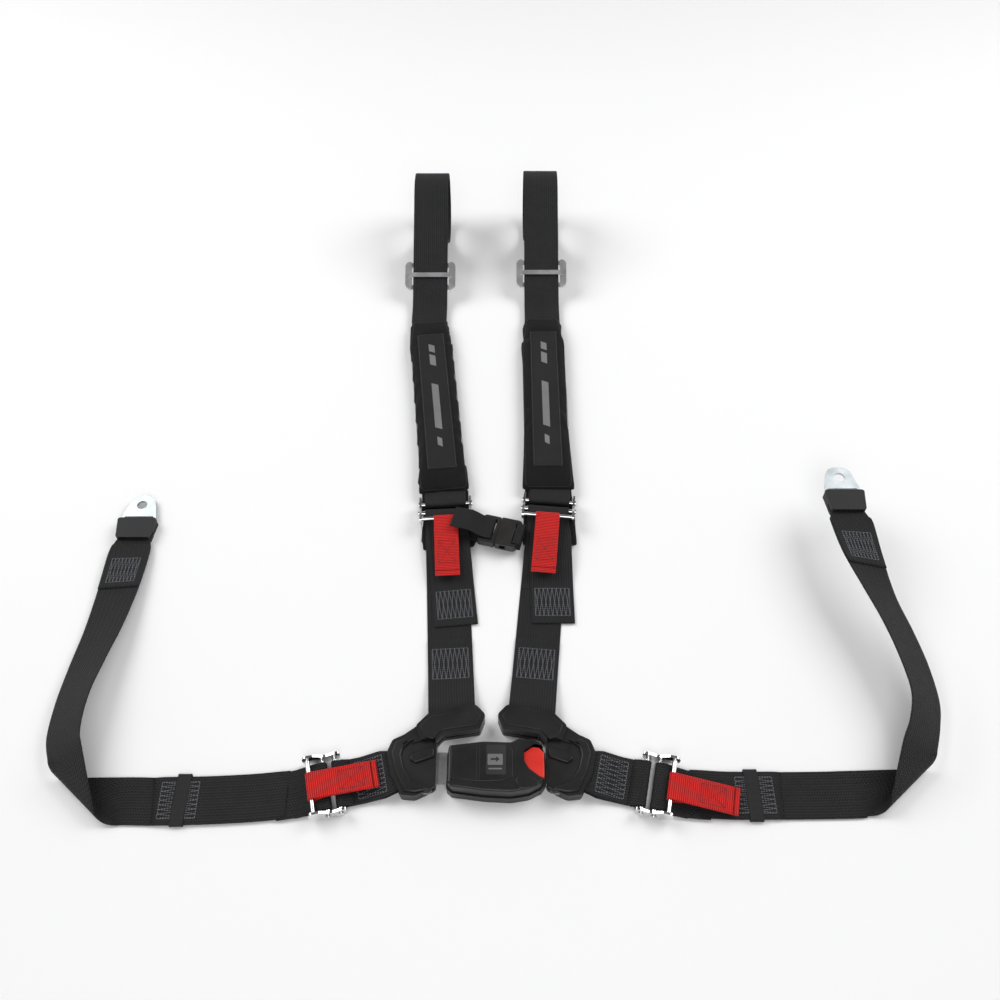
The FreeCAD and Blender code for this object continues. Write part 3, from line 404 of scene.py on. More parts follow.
PATCH_MARK = cloth("patch_mark", grey(0.15), grey(0.25), 0.45, 0.00005, 0.7)
CHROME = metal("chrome_plate", (0.66, 0.66, 0.67), (0.88, 0.88, 0.89), 0.10, 240.0)
SATIN = metal("satin_silver", (0.50, 0.50, 0.51), (0.66, 0.66, 0.67), 0.34, 700.0, 0.00004)
ZINC = metal("zinc_plate", (0.40, 0.44, 0.46), (0.60, 0.64, 0.66), 0.34, 420.0, 0.00003)
STEEL = metal("plated_steel", (0.40, 0.40, 0.41), (0.62, 0.62, 0.63), 0.26, 500.0, 0.00003)
SPRING = metal("spring_wire", (0.32, 0.32, 0.33), grey(0.50), 0.28, 900.0, 0.00002)
PLASTIC = plastic("black_plastic", grey(0.004), (0.009, 0.0086, 0.0083), 0.36, 1500, 5e-5, 0.06)
CLIP_PLASTIC = plastic("clip_plastic", (0.009, 0.008, 0.0075), (0.022, 0.020, 0.018), 0.34, 1100, 5e-5, 0.1)
INNER_PLASTIC = plastic("inner_plastic", grey(0.03), grey(0.06), 0.5, 900.0, 0.00005)
RED_PLASTIC = plastic("red_plastic", (0.62, 0.020, 0.012), (0.78, 0.035, 0.020), 0.36, 1300, 3e-5, 0.15)
RUBBER = plastic("boot_rubber", grey(0.006), grey(0.012), 0.62, 900.0, 0.00008)
LABEL = plastic("label_film", grey(0.014), grey(0.022), 0.5, 1600.0, 0.00002)
LABEL_MARK = plastic("label_mark", (0.12, 0.12, 0.125), (0.17, 0.17, 0.175), 0.5, 1600.0, 0.00002)
GREY_THREAD = thread_material("grey_thread", (0.10, 0.103, 0.12), (0.23, 0.235, 0.265))
DARK_THREAD = thread_material("dark_thread", (0.008, 0.008, 0.009), (0.02, 0.02, 0.022))
RED_THREAD = thread_material("red_thread", (0.09, 0.003, 0.004), (0.26, 0.009, 0.011))


# ---- mesh helpers ----


def to_row(point):
    """A harness point in millimetres as a row-frame point in metres."""
    return (Vector(point) - ORIGIN) * 0.001


def at(x, y, z=0.0, heading=0.0):
    """A local place whose X points along heading, in degrees."""
    return Matrix.Translation(Vector((x, y, z))) @ Matrix.Rotation(math.radians(heading), 4, "Z")


def share(value):
    """A number held between 0 and 1."""
    return min(max(value, 0.0), 1.0)


def build(name, points, faces, material, body, slot, uvs=None):
    """A mesh piece that rides on a CAD body, or on nothing yet where body is None."""
    mesh = bpy.data.meshes.new(name)
    mesh.from_pydata([to_row(p) for p in points], [], faces)
    mesh.update()
    if uvs is not None:
        layer = mesh.uv_layers.new(name="UVMap")
        for loop in mesh.loops:
            layer.data[loop.index].uv = uvs[loop.vertex_index]
    for polygon in mesh.polygons:
        polygon.use_smooth = True
    mesh.materials.append(material)
    piece = bpy.data.objects.new(name, mesh)
    bpy.context.scene.collection.objects.link(piece)
    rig.slot(piece, slot)
    if body is not None:
        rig.ride(piece, body)
    return piece


def bevelled(piece, width, segments=3, angle=30):
    """Rounded edges with clean shading, as modifiers."""
    bevel = piece.modifiers.new("bevel", "BEVEL")
    bevel.width = width * 0.001
    bevel.segments = segments
    bevel.limit_method = "ANGLE"
    bevel.angle_limit = math.radians(angle)
    bevel.harden_normals = True
    normals = piece.modifiers.new("normals", "WEIGHTED_NORMAL")
    normals.keep_sharp = True
    return piece


def taken(work):
    """The points and faces of a bmesh, which is freed."""
    work.verts.index_update()
    points = [v.co.copy() for v in work.verts]
    faces = [[v.index for v in face.verts] for face in work.faces]
    work.free()
    return points, faces


def shaped(node, material, slot, bevel, segments=3, angle=30, rides=True):
    """A detailed copy of a CAD node, with its flats merged and its edges rounded."""
    work = bmesh.new()
    work.from_mesh(frame["nodes"][node].data)
    bmesh.ops.remove_doubles(work, verts=work.verts, dist=1e-6)
    bmesh.ops.dissolve_limit(work, angle_limit=math.radians(1.0), verts=work.verts, edges=work.edges)
    wide = [face for face in work.faces if len(face.verts) > 4]
    bmesh.ops.triangulate(work, faces=wide, ngon_method="EAR_CLIP")
    points, faces = taken(work)
    points = [p / 0.001 + ORIGIN for p in points]
    body = frame["nodes"][node]["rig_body"] if rides else None
    piece = build(node + "_look", points, faces, material, body, slot)
    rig.replaces(piece, node)
    if bevel > 0:
        bevelled(piece, bevel, segments, angle)
    return piece


def slab(outline, low, high, place):
    """Points and outward faces of a slab on an outline of (x, y) points."""
    count = len(outline)
    points = [place @ Vector((x, y, z)) for z in (low, high) for x, y in outline]
    faces = [list(range(count))[::-1], list(range(count, 2 * count))]
    faces += [[i, (i + 1) % count, count + (i + 1) % count, count + i] for i in range(count)]
    work = bmesh.new()
    made = [work.verts.new(p) for p in points]
    for face in faces:
        work.faces.new([made[i] for i in face])
    bmesh.ops.recalc_face_normals(work, faces=work.faces)
    return taken(work)


def prism(name, outline, low, high, place, material, body, slot, bevel):
    """A small bevelled slab."""
    points, faces = slab(outline, low, high, place)
    return bevelled(build(name, points, faces, material, body, slot), bevel, 2)


def grid(rows, columns):
    """Faces of a sheet of points that are laid out row by row."""
    wide = columns + 1
    starts = [i * wide + k for i in range(rows) for k in range(columns)]
    return [[a, a + 1, a + wide + 1, a + wide] for a in starts]


def rectangle(left, low, right, high):
    """The corners of an upright rectangle."""
    return [(left, low), (right, low), (right, high), (left, high)]


def rounded(points, radii, step=2.5):
    """Points along a (x, z) polyline whose inner corners are arcs."""
    line = [Vector(p) for p in points]
    made = [line[0]]
    for i in range(1, len(line) - 1):
        back = (line[i - 1] - line[i]).normalized()
        on = (line[i + 1] - line[i]).normalized()
        half = back.angle(on) / 2
        if math.pi / 2 - half < 1e-3:
            made.append(line[i])
            continue
        radius = radii[i - 1]
        trim = radius / math.tan(half)
        centre = line[i] + (back + on).normalized() * (radius / math.sin(half))
        first = line[i] + back * trim - centre
        last = line[i] + on * trim - centre
        turn = math.pi - 2 * half
        count = max(3, int(radius * turn / step))
        for k in range(count + 1):
            mixed = first * math.sin(turn * (1 - k / count)) + last * math.sin(turn * k / count)
            made.append(centre + mixed / math.sin(turn))
    made.append(line[-1])
    dense = [made[0]]
    for a, b in zip(made, made[1:]):
        count = max(1, int((b - a).length / step))
        dense += [a.lerp(b, (k + 1) / count) for k in range(count)]
    return [p for i, p in enumerate(dense) if i == 0 or (p - dense[i - 1]).length > 1e-4]


def arc(x, z, radius, start, end, count=8):
    """Points of an arc in the (x, z) plane, between two angles in degrees."""
    made = []
    for k in range(count + 1):
        angle = math.radians(start + (end - start) * k / count)
        made.append(Vector((x + radius * math.cos(angle), z + radius * math.sin(angle))))
    return made


def stations(path, place, width=WEB):
    """Ribbon stations of an (x, z) path in a local place."""
    side = place.to_3x3() @ Vector((0, 1, 0))
    return [(place @ Vector((p[0], 0, p[1])), side.copy(), width) for p in path]


def half_vectors(row):
    """A station's middle and the vector from it to the selvedge."""
    middle, across, width = row
    return middle, across.normalized() * (width / 2)


def smooth(rows, step=3.0):
    """Catmull-Rom stations through a few, about step apart."""
    made = []
    for i in range(len(rows) - 1):
        a, b, c, d = (rows[min(max(j, 0), len(rows) - 1)] for j in (i - 1, i, i + 1, i + 2))
        count = max(2, int((c[0] - b[0]).length / step))
        for k in range(count):
            t = k / count
            values = []
            for p, q, r, s in zip(*(half_vectors(row) for row in (a, b, c, d))):
                bend = (p * 2 - q * 5 + r * 4 - s) * (t * t) + (q * 3 - p - r * 3 + s) * (t * t * t)
                values.append((q * 2 + (r - p) * t + bend) * 0.5)
            middle, half = values
            made.append((middle, half.normalized(), 2 * half.length))
    made.append(rows[-1])
    return made


class Ribbon:
    """A ply of webbing through stations of (middle, direction across, width)."""

    PROFILE = (-1.0, -0.985, -0.95, -0.88, -0.6, -0.3, 0.0, 0.3, 0.6, 0.88, 0.95, 0.985, 1.0)

    def __init__(self, rows, thick=PLY, wave=0.25, seed=0.0):
        self.rows = rows
        self.thick = thick
        self.wave = wave
        self.seed = seed
        self.length = [0.0]
        for a, b in zip(rows, rows[1:]):
            self.length.append(self.length[-1] + (b[0] - a[0]).length)

    def frame_at(self, i):
        """Middle, unit across, unit normal and half width of station i."""
        middle, across, width = self.rows[i]
        ahead = self.rows[min(i + 1, len(self.rows) - 1)][0] - self.rows[max(i - 1, 0)][0]
        side = across.normalized()
        normal = ahead.cross(side).normalized()
        swing = noise.noise(Vector((self.length[i] / 45.0, self.seed, 0.0))) * self.wave
        return middle + normal * swing, side, normal, width / 2

    def at(self, v, u, lift=0.0):
        """The point u across and v along, lifted off the upper side."""
        i = 0
        while i < len(self.length) - 2 and self.length[i + 1] < v:
            i += 1
        span = self.length[i + 1] - self.length[i]
        t = share((v - self.length[i]) / span)
        ends = []
        for j in (i, i + 1):
            middle, side, normal, _ = self.frame_at(j)
            ends.append(middle + side * u + normal * (self.thick / 2 + lift))
        return ends[0].lerp(ends[1], t)

    def mesh(self, name, material, body, slot):
        """The closed ribbon with thickened selvedges."""
        points, uvs = [], []
        for i in range(len(self.rows)):
            middle, side, normal, half = self.frame_at(i)
            for face in (1, -1):
                for part in self.PROFILE[::face]:
                    edge = max(0.0, (abs(part) - 0.95) / 0.05)
                    thick = self.thick / 2 * math.sqrt(max(1 - edge * edge, 0.04))
                    bead = 0.10 if 0.86 < abs(part) < 0.96 else 0.0
                    points.append(middle + side * (half * part) + normal * (face * (thick + bead)))
                    uvs.append((half * part + half, self.length[i]))
        ring = 2 * len(self.PROFILE)
        faces = []
        for i in range(len(self.rows) - 1):
            for k in range(ring):
                a, b = i * ring + k, i * ring + (k + 1) % ring
                faces.append([a, a + ring, b + ring, b])
        last = (len(self.rows) - 1) * ring
        faces += [list(range(ring)), [last + k for k in range(ring)][::-1]]
        return build(name, points, faces, material, body, slot, uvs)


def flip(rows):
    """The stations with their two selvedges exchanged."""
    return [(middle, -across, width) for middle, across, width in rows]


def matched(rows, across):
    """The stations, flipped where the first one's selvedges lie opposite to across."""
    return rows if rows[0][1].dot(across) >= 0 else flip(rows)


def flipped(ribbon):
    """The same ply with its upper side turned over."""
    return Ribbon(flip(ribbon.rows), ribbon.thick, ribbon.wave, ribbon.seed)


def upward(ribbon, i):
    """The ply with its upper side up at station i."""
    return ribbon if ribbon.frame_at(i)[2].z > 0 else flipped(ribbon)


def web_piece(name, ribbon, material, body, slot="webbing", held="laid", rests=(), replaces=()):
    """A ribbon's mesh, declared as a sheet of cloth."""
    piece = ribbon.mesh(name, material, body, slot)
    if replaces:
        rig.replaces(piece, *replaces)
    widest = max(row[2] for row in ribbon.rows) * 0.001
    length = ribbon.length[-1] * 0.001
    area = 0.0
    for a, b in zip(ribbon.rows, ribbon.rows[1:]):
        area += (a[2] + b[2]) / 2 * (b[0] - a[0]).length * 1e-6
    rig.sheet(piece, flat=(widest, length), held=held, rests_on=rests, area=min(area, widest * length))
    return piece


def dashes(lines, pitch, gap):
    """Start and end pairs of stitches along polylines."""
    made = []
    for line in lines:
        for a, b in zip(line, line[1:]):
            length = (b - a).length
            count = max(1, round(length / pitch))
            for k in range(count):
                start = (k + gap / 2) / count
                end = (k + 1 - gap / 2) / count
                made.append((a.lerp(b, start), a.lerp(b, end)))
    return made


def stitches(name, lines, lift, material, body, slot, pitch, radius=THREAD, gap=0.24):
    """Thread in short humped stitches; lift maps a point of the plan to where the thread lies."""
    points, faces = [], []
    sides, steps = 6, (0.0, 0.12, 0.5, 0.88, 1.0)
    for a, b in dashes(lines, pitch, gap):
        flat = (b - a).normalized()
        base = len(points)
        for t in steps:
            sunk = -radius * 1.3 if t in (0.0, 1.0) else 0.0
            spot = a.lerp(b, t)
            centre = lift(spot, sunk)
            ahead = (lift(spot + flat * 0.4, sunk) - lift(spot - flat * 0.4, sunk)).normalized()
            normal = (lift(spot, sunk + 1.0) - centre).normalized()
            side = ahead.cross(normal).normalized()
            wide = radius * (0.7 if t in (0.0, 1.0) else 1.0)
            for k in range(sides):
                angle = 2 * math.pi * k / sides
                turned = side * math.cos(angle) + normal * math.sin(angle)
                points.append(centre + turned * wide)
        for row in range(len(steps) - 1):
            for k in range(sides):
                p = base + row * sides + k
                q = base + row * sides + (k + 1) % sides
                faces.append([p, q, q + sides, p + sides])
        end = base + (len(steps) - 1) * sides
        faces += [[base + k for k in range(sides)][::-1], [end + k for k in range(sides)]]
    return build(name, points, faces, material, body, slot)


def closed(corners):
    """A polyline round some corners and back to the first."""
    return [Vector(c) for c in corners + corners[:1]]


def box_stitch(start, end, half):
    """A sewn rectangle filled with two crossing zigzags, as (along, across) lines."""
    lines = [closed(rectangle(start, -half, end, half))]
    for ends in ((start, end), (end, start)):
        spots = [(ends[k % 2], half * (k / ZIGZAGS - 1)) for k in range(2 * ZIGZAGS + 1)]
        lines.append([Vector(spot) for spot in spots])
    return lines


def sew(name, ribbon, lines, body):
    """Stitches on a ribbon's upper side."""

    def lift(p, up):
        return ribbon.at(p[0], p[1], up + THREAD * 0.35)

    return stitches(name, lines, lift, GREY_THREAD, body, "webbing", WEB_STITCH)


# ---- webbing ----


class Side:
    """Where one side's straps lie."""

    def __init__(self, name, mirror, bar, pad_heading, low_heading, low_length, root):
        self.name = name
        self.mirror = mirror
        self.pad = at(bar[0], bar[1], 0, pad_heading)
        self.low = at(bar[0], bar[1], 0, low_heading)
        self.adjuster = at(bar[0], bar[1], BAR_Z, low_heading)
        end = self.pad @ Vector((-PAD_UP, 0, 0))
        self.loop = at(end.x, end.y, 0, 90)
        self.low_length = low_length
        self.turn = pad_heading - low_heading
        self.root = root
        heading = 180 + LAP_SLOPE if mirror > 0 else -LAP_SLOPE
        turn = math.radians(heading)
        x = -LAP_EYE[0] * mirror + LAP_INNER * math.cos(turn)
        self.lap = at(x, LAP_EYE[1] + LAP_INNER * math.sin(turn), LAP_Z, heading)


LEFT = Side("left", 1, (-58.0, -75.0), -84.1, -86.75, 289.5, "harness")
RIGHT = Side("right", -1, (69.5, -71.0), -90.0, -95.4, 294.3, "tongue_side")


def rise(along):
    """Height of the loop's front strand past the foot of its slope."""
    return STRAP_Z + along * LOOP_TAN


def upper_strap(side):
    """The eye at the adjuster, the run through the pad and the standing loop."""
    path = [Vector((-24.0, 11.2)), Vector((-12.0, 13.2))] + arc(0, BAR_Z, 3.4, 100, -90)
    rows = stations(path, side.low)
    rows += stations([(-x, STRAP_Z) for x in range(16, int(PAD_UP), 8)], side.pad)
    ply = 1.7 / math.cos(math.radians(30))
    corners = [(6.0, STRAP_Z), (LOOP_FOOT, STRAP_Z), (LOOP_FOOT + 164, rise(164)), (250, 96), (246, 12)]
    corners += [(180, 5), (LOOP_FOOT + 90, rise(90) - ply), (LOOP_FOOT + 20, rise(20) - ply)]
    path = rounded(corners, [40, 45, 38, 40, 60, 30])
    rows += matched(stations(path, side.loop), rows[-1][1])
    ribbon = flipped(Ribbon(rows, seed=side.mirror * 3.0))
    name = side.name
    web_piece(
        name + "_upper_webbing", ribbon, BLACK_WEB, "harness", held="hung",
        rests=[name + "_shoulder_slide"], replaces=[name + "_shoulder_strap_upper"],
    )


def turned_station(side, point):
    """A tail station, which swings from the lower strap's heading to the pad's."""
    t = share((point[0] - 16) / 36)
    turn = side.turn * t * t * (3 - 2 * t)
    place = side.low @ Matrix.Rotation(math.radians(turn), 4, "Z")
    return place @ Vector((point[0], 0, point[1])), place.to_3x3() @ Vector((0, 1, 0)), WEB


def lower_strap(side):
    """The tail and roll at the adjuster, and the run down to the bracket's eye."""
    tail_and_roll(side)
    name, end, low = side.name, side.low_length, PLATE_Z - EYE
    path = rounded([(122, LOW_PLY), (end - 60, LOW_PLY), (end - 22, low), (end + 2, low)], [60, 60])
    path += arc(end + 2, PLATE_Z, EYE, -70, 70, 6)
    back = [(end + 2, PLATE_Z + EYE), (end - 20, PLATE_Z + EYE), (end - 60, HIGH_PLY), (end - 104, HIGH_PLY)]
    run = Ribbon(stations(path + rounded(back, [40, 40]), side.low), wave=0.15, seed=7.0 + side.mirror)
    bends = side.root == "tongue_side"
    nodes = [name + "_shoulder_strap_lower"]
    if bends:
        nodes.append(name + "_shoulder_strap_foot")
    body = None if bends else "harness"
    piece = web_piece(
        name + "_shoulder_webbing", run, BLACK_WEB, body,
        rests=[name + "_bracket_lower_cover"], replaces=nodes,
    )
    length = run.length[-1]
    lines = box_stitch(length - 50, length - 12, 20)
    sewn = sew(name + "_shoulder_foot_stitch", flipped(run), lines, body)
    if bends:
        for bent in (piece, sewn):
            bend(bent, "harness", "tongue_side", side.low, 130, end - 30)


def tail_and_roll(side):
    """The loose tail over the lower strap, and its roll round the grip bar."""
    name = side.name
    tail = [(168, HIGH_PLY), (112, HIGH_PLY), (74, 9.9), (48, 10.0), (30, 13.4), (19, 16.3)]
    under = [(21, 8.4), (72, 8.4), (112, LOW_PLY), (124, LOW_PLY)]
    path = arc(GRIP, BAR_Z, ROLL, 80, 270) + rounded(under, [60, 60])
    rows = [turned_station(side, p) for p in rounded(tail, [60, 60, 30, 20])] + stations(path, side.low)
    roll = flipped(Ribbon(rows, wave=0.12, seed=1.0 + side.mirror))
    piece = web_piece(
        name + "_shoulder_tail", roll, BLACK_WEB, None, rests=[name + "_shoulder_strap_lower"],
        replaces=[name + "_shoulder_strap_roll"],
    )
    bend(piece, "harness", name + "_shoulder_adjuster", side.low, 60, 20)
    sew(name + "_shoulder_tail_stitch", roll, box_stitch(10, 47, 20), "harness")


def bend(piece, fixed, moving, place, start, end):
    """Bends a piece between two bodies, from one distance along a local place to another."""
    spots = [to_row(place @ Vector((x, 0, 0))) for x in (start, end)]
    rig.blend(piece, fixed, moving, *spots)


# For each side: the run on the floor, the fold's corner, the climb with each point's tilt in degrees,
# the end tab, and the x at which the sewn tail ends.
LAP_ROUTES = {
    "left": (
        [(-206, -440.6), (-242, -444), (-289, -446.5), (-337, -447.5), (-366, -447)],
        (-403, -447.5),
        [(-432.5, -410, 28, 29), (-441, -385, 27.5, 30), (-443.5, -343, 24, 29), (-441, -298, 18, 23),
         (-436, -250, 13, 16), (-433.5, -200, 9, 8), (-433, -150, 6.8, 2)],
        (-432.5, -101, 6.6), -340,
    ),
    "right": (
        [(206, -439.5), (242, -441.5), (289, -441.5), (337, -441), (372, -440)],
        (408, -438),
        [(437.5, -401, 28.5, 30), (449, -375, 30, 36), (456, -345, 32, 37), (452, -305, 37, 34),
         (443, -265, 42, 32), (431, -225, 47, 28), (421, -180, 53, 14), (416, -138, 58, 3)],
        (414, -100, 60), 294,
    ),
}


def flat_rows(spots, level):
    """Stations of a ply flat on the floor."""
    rows = []
    for i, spot in enumerate(spots):
        ahead = spots[min(i + 1, len(spots) - 1)] - spots[max(i - 1, 0)]
        rows.append((Vector((spot.x, spot.y, level)), UP.cross(ahead).normalized(), WEB))
    return rows


def lap_far_rows(side):
    """Stations of the soft fold and the climb to the end tab."""
    _, fold, climb, tab, _ = LAP_ROUTES[side.name]
    lean, radius = math.radians(40), 8.0
    m = side.mirror
    axis = Vector((-math.cos(lean) * m, math.sin(lean), 0))
    out = Vector((-math.sin(lean) * m, -math.cos(lean), 0))
    rows = []
    for step in range(8):
        turn = math.radians(20 * step)
        middle = Vector((*fold, LAP_PLY)) + axis * (radius * turn / math.tan(lean))
        middle += out * (radius * math.sin(turn)) + UP * (radius * (1 - math.cos(turn)))
        rows.append((middle, axis * -m, WEB / math.sin(lean)))
    for x, y, z, tilt in climb:
        angle = math.radians(tilt)
        rows.append((Vector((x, y, z)), Vector((math.cos(angle), 0, math.sin(angle) * m)), WEB))
    x, y, z = tab
    for back, width in ((32, 46.0), (22, 38.0), (14, 33.0), (4, 32.0)):
        rows.append((Vector((x, y - back, z)), Vector((1, 0, 0)), width))
    return rows


def lap_outer(side):
    """The long lap strap: sewn tail, roll round the grip bar, floor run, fold and climb."""
    name = side.name
    floor, _, _, _, tail_end = LAP_ROUTES[name]
    spots = [Vector((x, y, 0)) for x, y in floor]
    near = [side.lap @ Vector((x, 0, -LAP_Z)) for x in (58, 46)]
    tail_spots = [p for p in spots if abs(tail_end) > abs(p.x)]
    tail_spots.append(Vector((tail_end, tail_spots[-1].y - 0.7, 0)))
    tail = flat_rows(tail_spots[::-1] + near, LAP_PLY + 1.5)
    over = rounded([(40, -1.9), (30, 0.8), (19, 3.9)], [20]) + arc(GRIP, 0, ROLL, 80, 270)
    roll = stations(over + [(21, -4.0), (34, -4.0), (46, -4.0)], side.lap)
    roll = matched(roll, tail[-1][1])
    rows = smooth(tail + roll[:1], 5.0)[:-1] + roll
    under = matched(flat_rows([near[1]] + spots, LAP_PLY), rows[-1][1])
    far = matched(lap_far_rows(side), under[-1][1])
    rows += smooth([rows[-1]] + under[1:] + far, 4.0)[1:]
    shown = upward(Ribbon(rows, wave=0.1, seed=12.0 + side.mirror), 2)
    piece = web_piece(
        name + "_lap_webbing", shown, BLACK_WEB, None, held="folded",
        rests=[name + "_lap_adjuster_frame"], replaces=[name + "_lap_strap_outer", name + "_lap_strap_roll"],
    )
    bend(piece, side.root, name + "_lap_adjuster", side.lap, 46, 20)
    sew(name + "_lap_tail_stitch", shown, box_stitch(8, 46, 19), side.root)
    end_ply(side, shown)


def end_ply(side, ribbon):
    """The strap's end, turned back from the end tab and sewn down."""
    last = len(ribbon.rows) - 1
    first = next(i for i in range(last) if ribbon.length[i] > ribbon.length[-1] - 92)
    top = upward(ribbon, first)
    rows = []
    for i in range(first, last - 5):
        middle, across, normal, half = top.frame_at(i)
        rows.append((middle + normal * (PLY + 0.1), across, half * 2 - 0.6))
    ply = Ribbon(rows, wave=0.0)
    name = side.name + "_lap_"
    web_piece(name + "end_ply", ply, BLACK_WEB, side.root, rests=[name + "strap_outer"])
    sew(name + "end_stitch", ply, box_stitch(8, 42, 17), side.root)


def lap_inner(side):
    """The short strap from the bracket's eye to the adjuster's fixed bar."""
    low, root = -3.4, PLATE_Z - LAP_Z
    start = -LAP_INNER
    sewn = low + 1.5
    over = [(start + 58, sewn), (start + 44, sewn), (start + 20, root + EYE), (start, root + EYE)]
    under = [(start, root - EYE), (start + 20, root - EYE), (start + 48, low), (0, low)]
    path = rounded(over, [20, 20]) + arc(start, root, EYE, 110, 250, 6) + rounded(under, [40, 40])
    path += arc(0, 0, 3.4, -75, 150)
    path += [Vector((-8.0, 1.2)), Vector((-14.0, -1.2))]
    rows = []
    for point, (middle, across, _) in zip(path, stations(path, side.lap)):
        rows.append((middle, across, 43.0 + 6.8 * share((point[0] - start - 10) / 14)))
    web_piece(
        side.name + "_lap_inner_webbing", flipped(Ribbon(rows, wave=0.0)), BLACK_WEB, side.root,
        rests=[side.name + "_bracket_lower_cover"], replaces=[side.name + "_lap_strap_inner"],
    )

    def lift(p, up):
        height = sewn + PLY / 2 + sewn_rise(p[0] - start, root)
        return side.lap @ Vector((p[0], p[1], height + up))

    lines = box_stitch(-48.0, -19.0, 20)
    stitches(side.name + "_lap_inner_stitch", lines, lift, GREY_THREAD, side.root, "webbing", WEB_STITCH)


def sewn_rise(along, root):
    """Height of the sewn ply over its flat part, by distance from the bracket's eye."""
    return share((44 - along) / 24) * (root + EYE + 1.9)


def chest_straps():
    """Narrow webbing at both halves of the chest clip."""
    place = at(7, -119, 13.5, -14.5)
    path = rounded([(-56, 14.2), (-34, 14.2), (-17, 5.6), (-9, 5.6)], [14, 14])
    path += rounded([(-7.5, 5.4), (-6.9, 3), (-6.9, -3), (-9, -5.2), (-33, -5.2)], [1.5, 1.5, 1.5])
    ribbon = upward(Ribbon(stations(path, place, CHEST), 1.4, wave=0.1), 3)
    piece = web_piece(
        "chest_webbing_left", ribbon, CHEST_WEB, None, rests=["left_shoulder_pull_tab"],
        replaces=["chest_strap_left"],
    )
    bend(piece, "harness", "chest_plug", place, -50, -16)
    path = rounded([(30, 5.9), (20.8, 5.9), (20.8, -5.9), (30, -5.9)], [1.6, 1.6], 1.0)
    ribbon = Ribbon(stations(path, place, CHEST), 1.4, wave=0.0)
    web_piece(
        "chest_webbing_right", ribbon, CHEST_WEB, "harness", rests=["chest_clip_socket"],
        replaces=["chest_strap_right"],
    )


def keeper(side):
    """An elastic loop round both plies of the lap strap."""
    name = side.name + "_strap_keeper"
    low, high = (Vector(c) / 0.001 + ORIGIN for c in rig.box(name))
    middle = (low + high) / 2
    place = Matrix.Translation(middle) @ Matrix.Rotation(math.radians(90), 4, "Z")
    half, tall = (high.y - low.y) / 2 - 0.5, (high.z - low.z) / 2 - 0.45
    corners = [(0, -tall), (half, -tall), (half, tall), (-half, tall), (-half, -tall), (-0.6, -tall)]
    ribbon = Ribbon(stations(rounded(corners, [1.6] * 4, 1.5), place, 14.0), 0.9, wave=0.0)
    web_piece(name + "_look", ribbon, ELASTIC, side.name + "_keeper", "elastic", replaces=[name])


def pull_tab(name, place, length, direction, droop, body):
    """Red webbing doubled round the lift bar, with a sewn box and cross."""
    turn = Matrix.Translation(LIFT) @ Matrix.Rotation(math.radians(droop * direction), 4, "Y")
    place = place @ turn
    if direction < 0:
        place = place @ Matrix.Rotation(math.pi, 4, "Z")
    top, thick = 2.55 + PLY / 2, 1.35
    end = length - 0.9
    path = rounded([(end - 5, top - 0.1), (16, top), (0, top)], [30], 2.0) + arc(0, 0, top, 96, 262, 12)
    under = top - PLY - 0.12
    path += rounded([(1.5, -top), (14, under), (end - 2.0, under), (end, under + 0.2)], [12, 30], 2.0)
    path += arc(end, under + 0.78, 0.78, -90, 90, 4)
    path += [Vector((end - 4.0, top + 0.05))]
    ribbon = upward(Ribbon(stations(path, place, 29.0), thick, wave=0.0), 4)
    frame_name = name.replace("pull_tab", "adjuster_frame")
    web_piece(name + "_look", ribbon, RED_WEB, body, "red_webbing", rests=[frame_name], replaces=[name])
    corners = closed(rectangle(length * 0.42, -10.0, length * 0.80, 10.0))
    lines = [corners, corners[0:4:2], corners[3:0:-2]]
    lift = top + thick / 2
    stitches(
        name + "_stitch", lines, lambda p, up: place @ Vector((p[0], p[1], lift + up)), RED_THREAD, body,
        "red_webbing", 2.6, 0.42,
    )


# ---- pads ----


def pad_block(name, outline, low, high, place, material):
    """A padded slab before it is filled, as a voxel mesh."""
    points, faces = slab(outline, low, high, place)
    piece = build(name, points, faces, material, None, "padding")
    remesh = piece.modifiers.new("remesh", "REMESH")
    remesh.mode = "VOXEL"
    remesh.voxel_size = 0.004
    apply(piece)
    return piece


def apply(piece):
    """Puts a piece's modifiers into its mesh."""
    graph = bpy.context.evaluated_depsgraph_get()
    mesh = bpy.data.meshes.new_from_object(piece.evaluated_get(graph))
    piece.modifiers.clear()
    piece.data = mesh


def fill_pad(piece, cap):
    """Swells a pad with cloth pressure; no point moves further than cap."""
    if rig.quick():
        return
    rest = [v.co.copy() for v in piece.data.vertices]
    simulated = piece.modifiers.new("cloth", "CLOTH")
    simulated.settings.use_pressure = True
    simulated.settings.uniform_pressure_force = 4.0
    simulated.settings.effector_weights.gravity = 0.0
    simulated.settings.quality = 5
    simulated.settings.tension_stiffness = 25.0
    simulated.settings.compression_stiffness = 25.0
    simulated.settings.bending_stiffness = 4.0
    simulated.point_cache.frame_start = 1
    simulated.point_cache.frame_end = FILL_STEPS
    scene = bpy.context.scene
    for step in range(1, FILL_STEPS + 1):
        scene.frame_set(step)
    apply(piece)
    for vertex, start in zip(piece.data.vertices, rest):
        move = vertex.co - start
        if move.length > cap:
            vertex.co = start + move.normalized() * cap
    scene.frame_set(1)


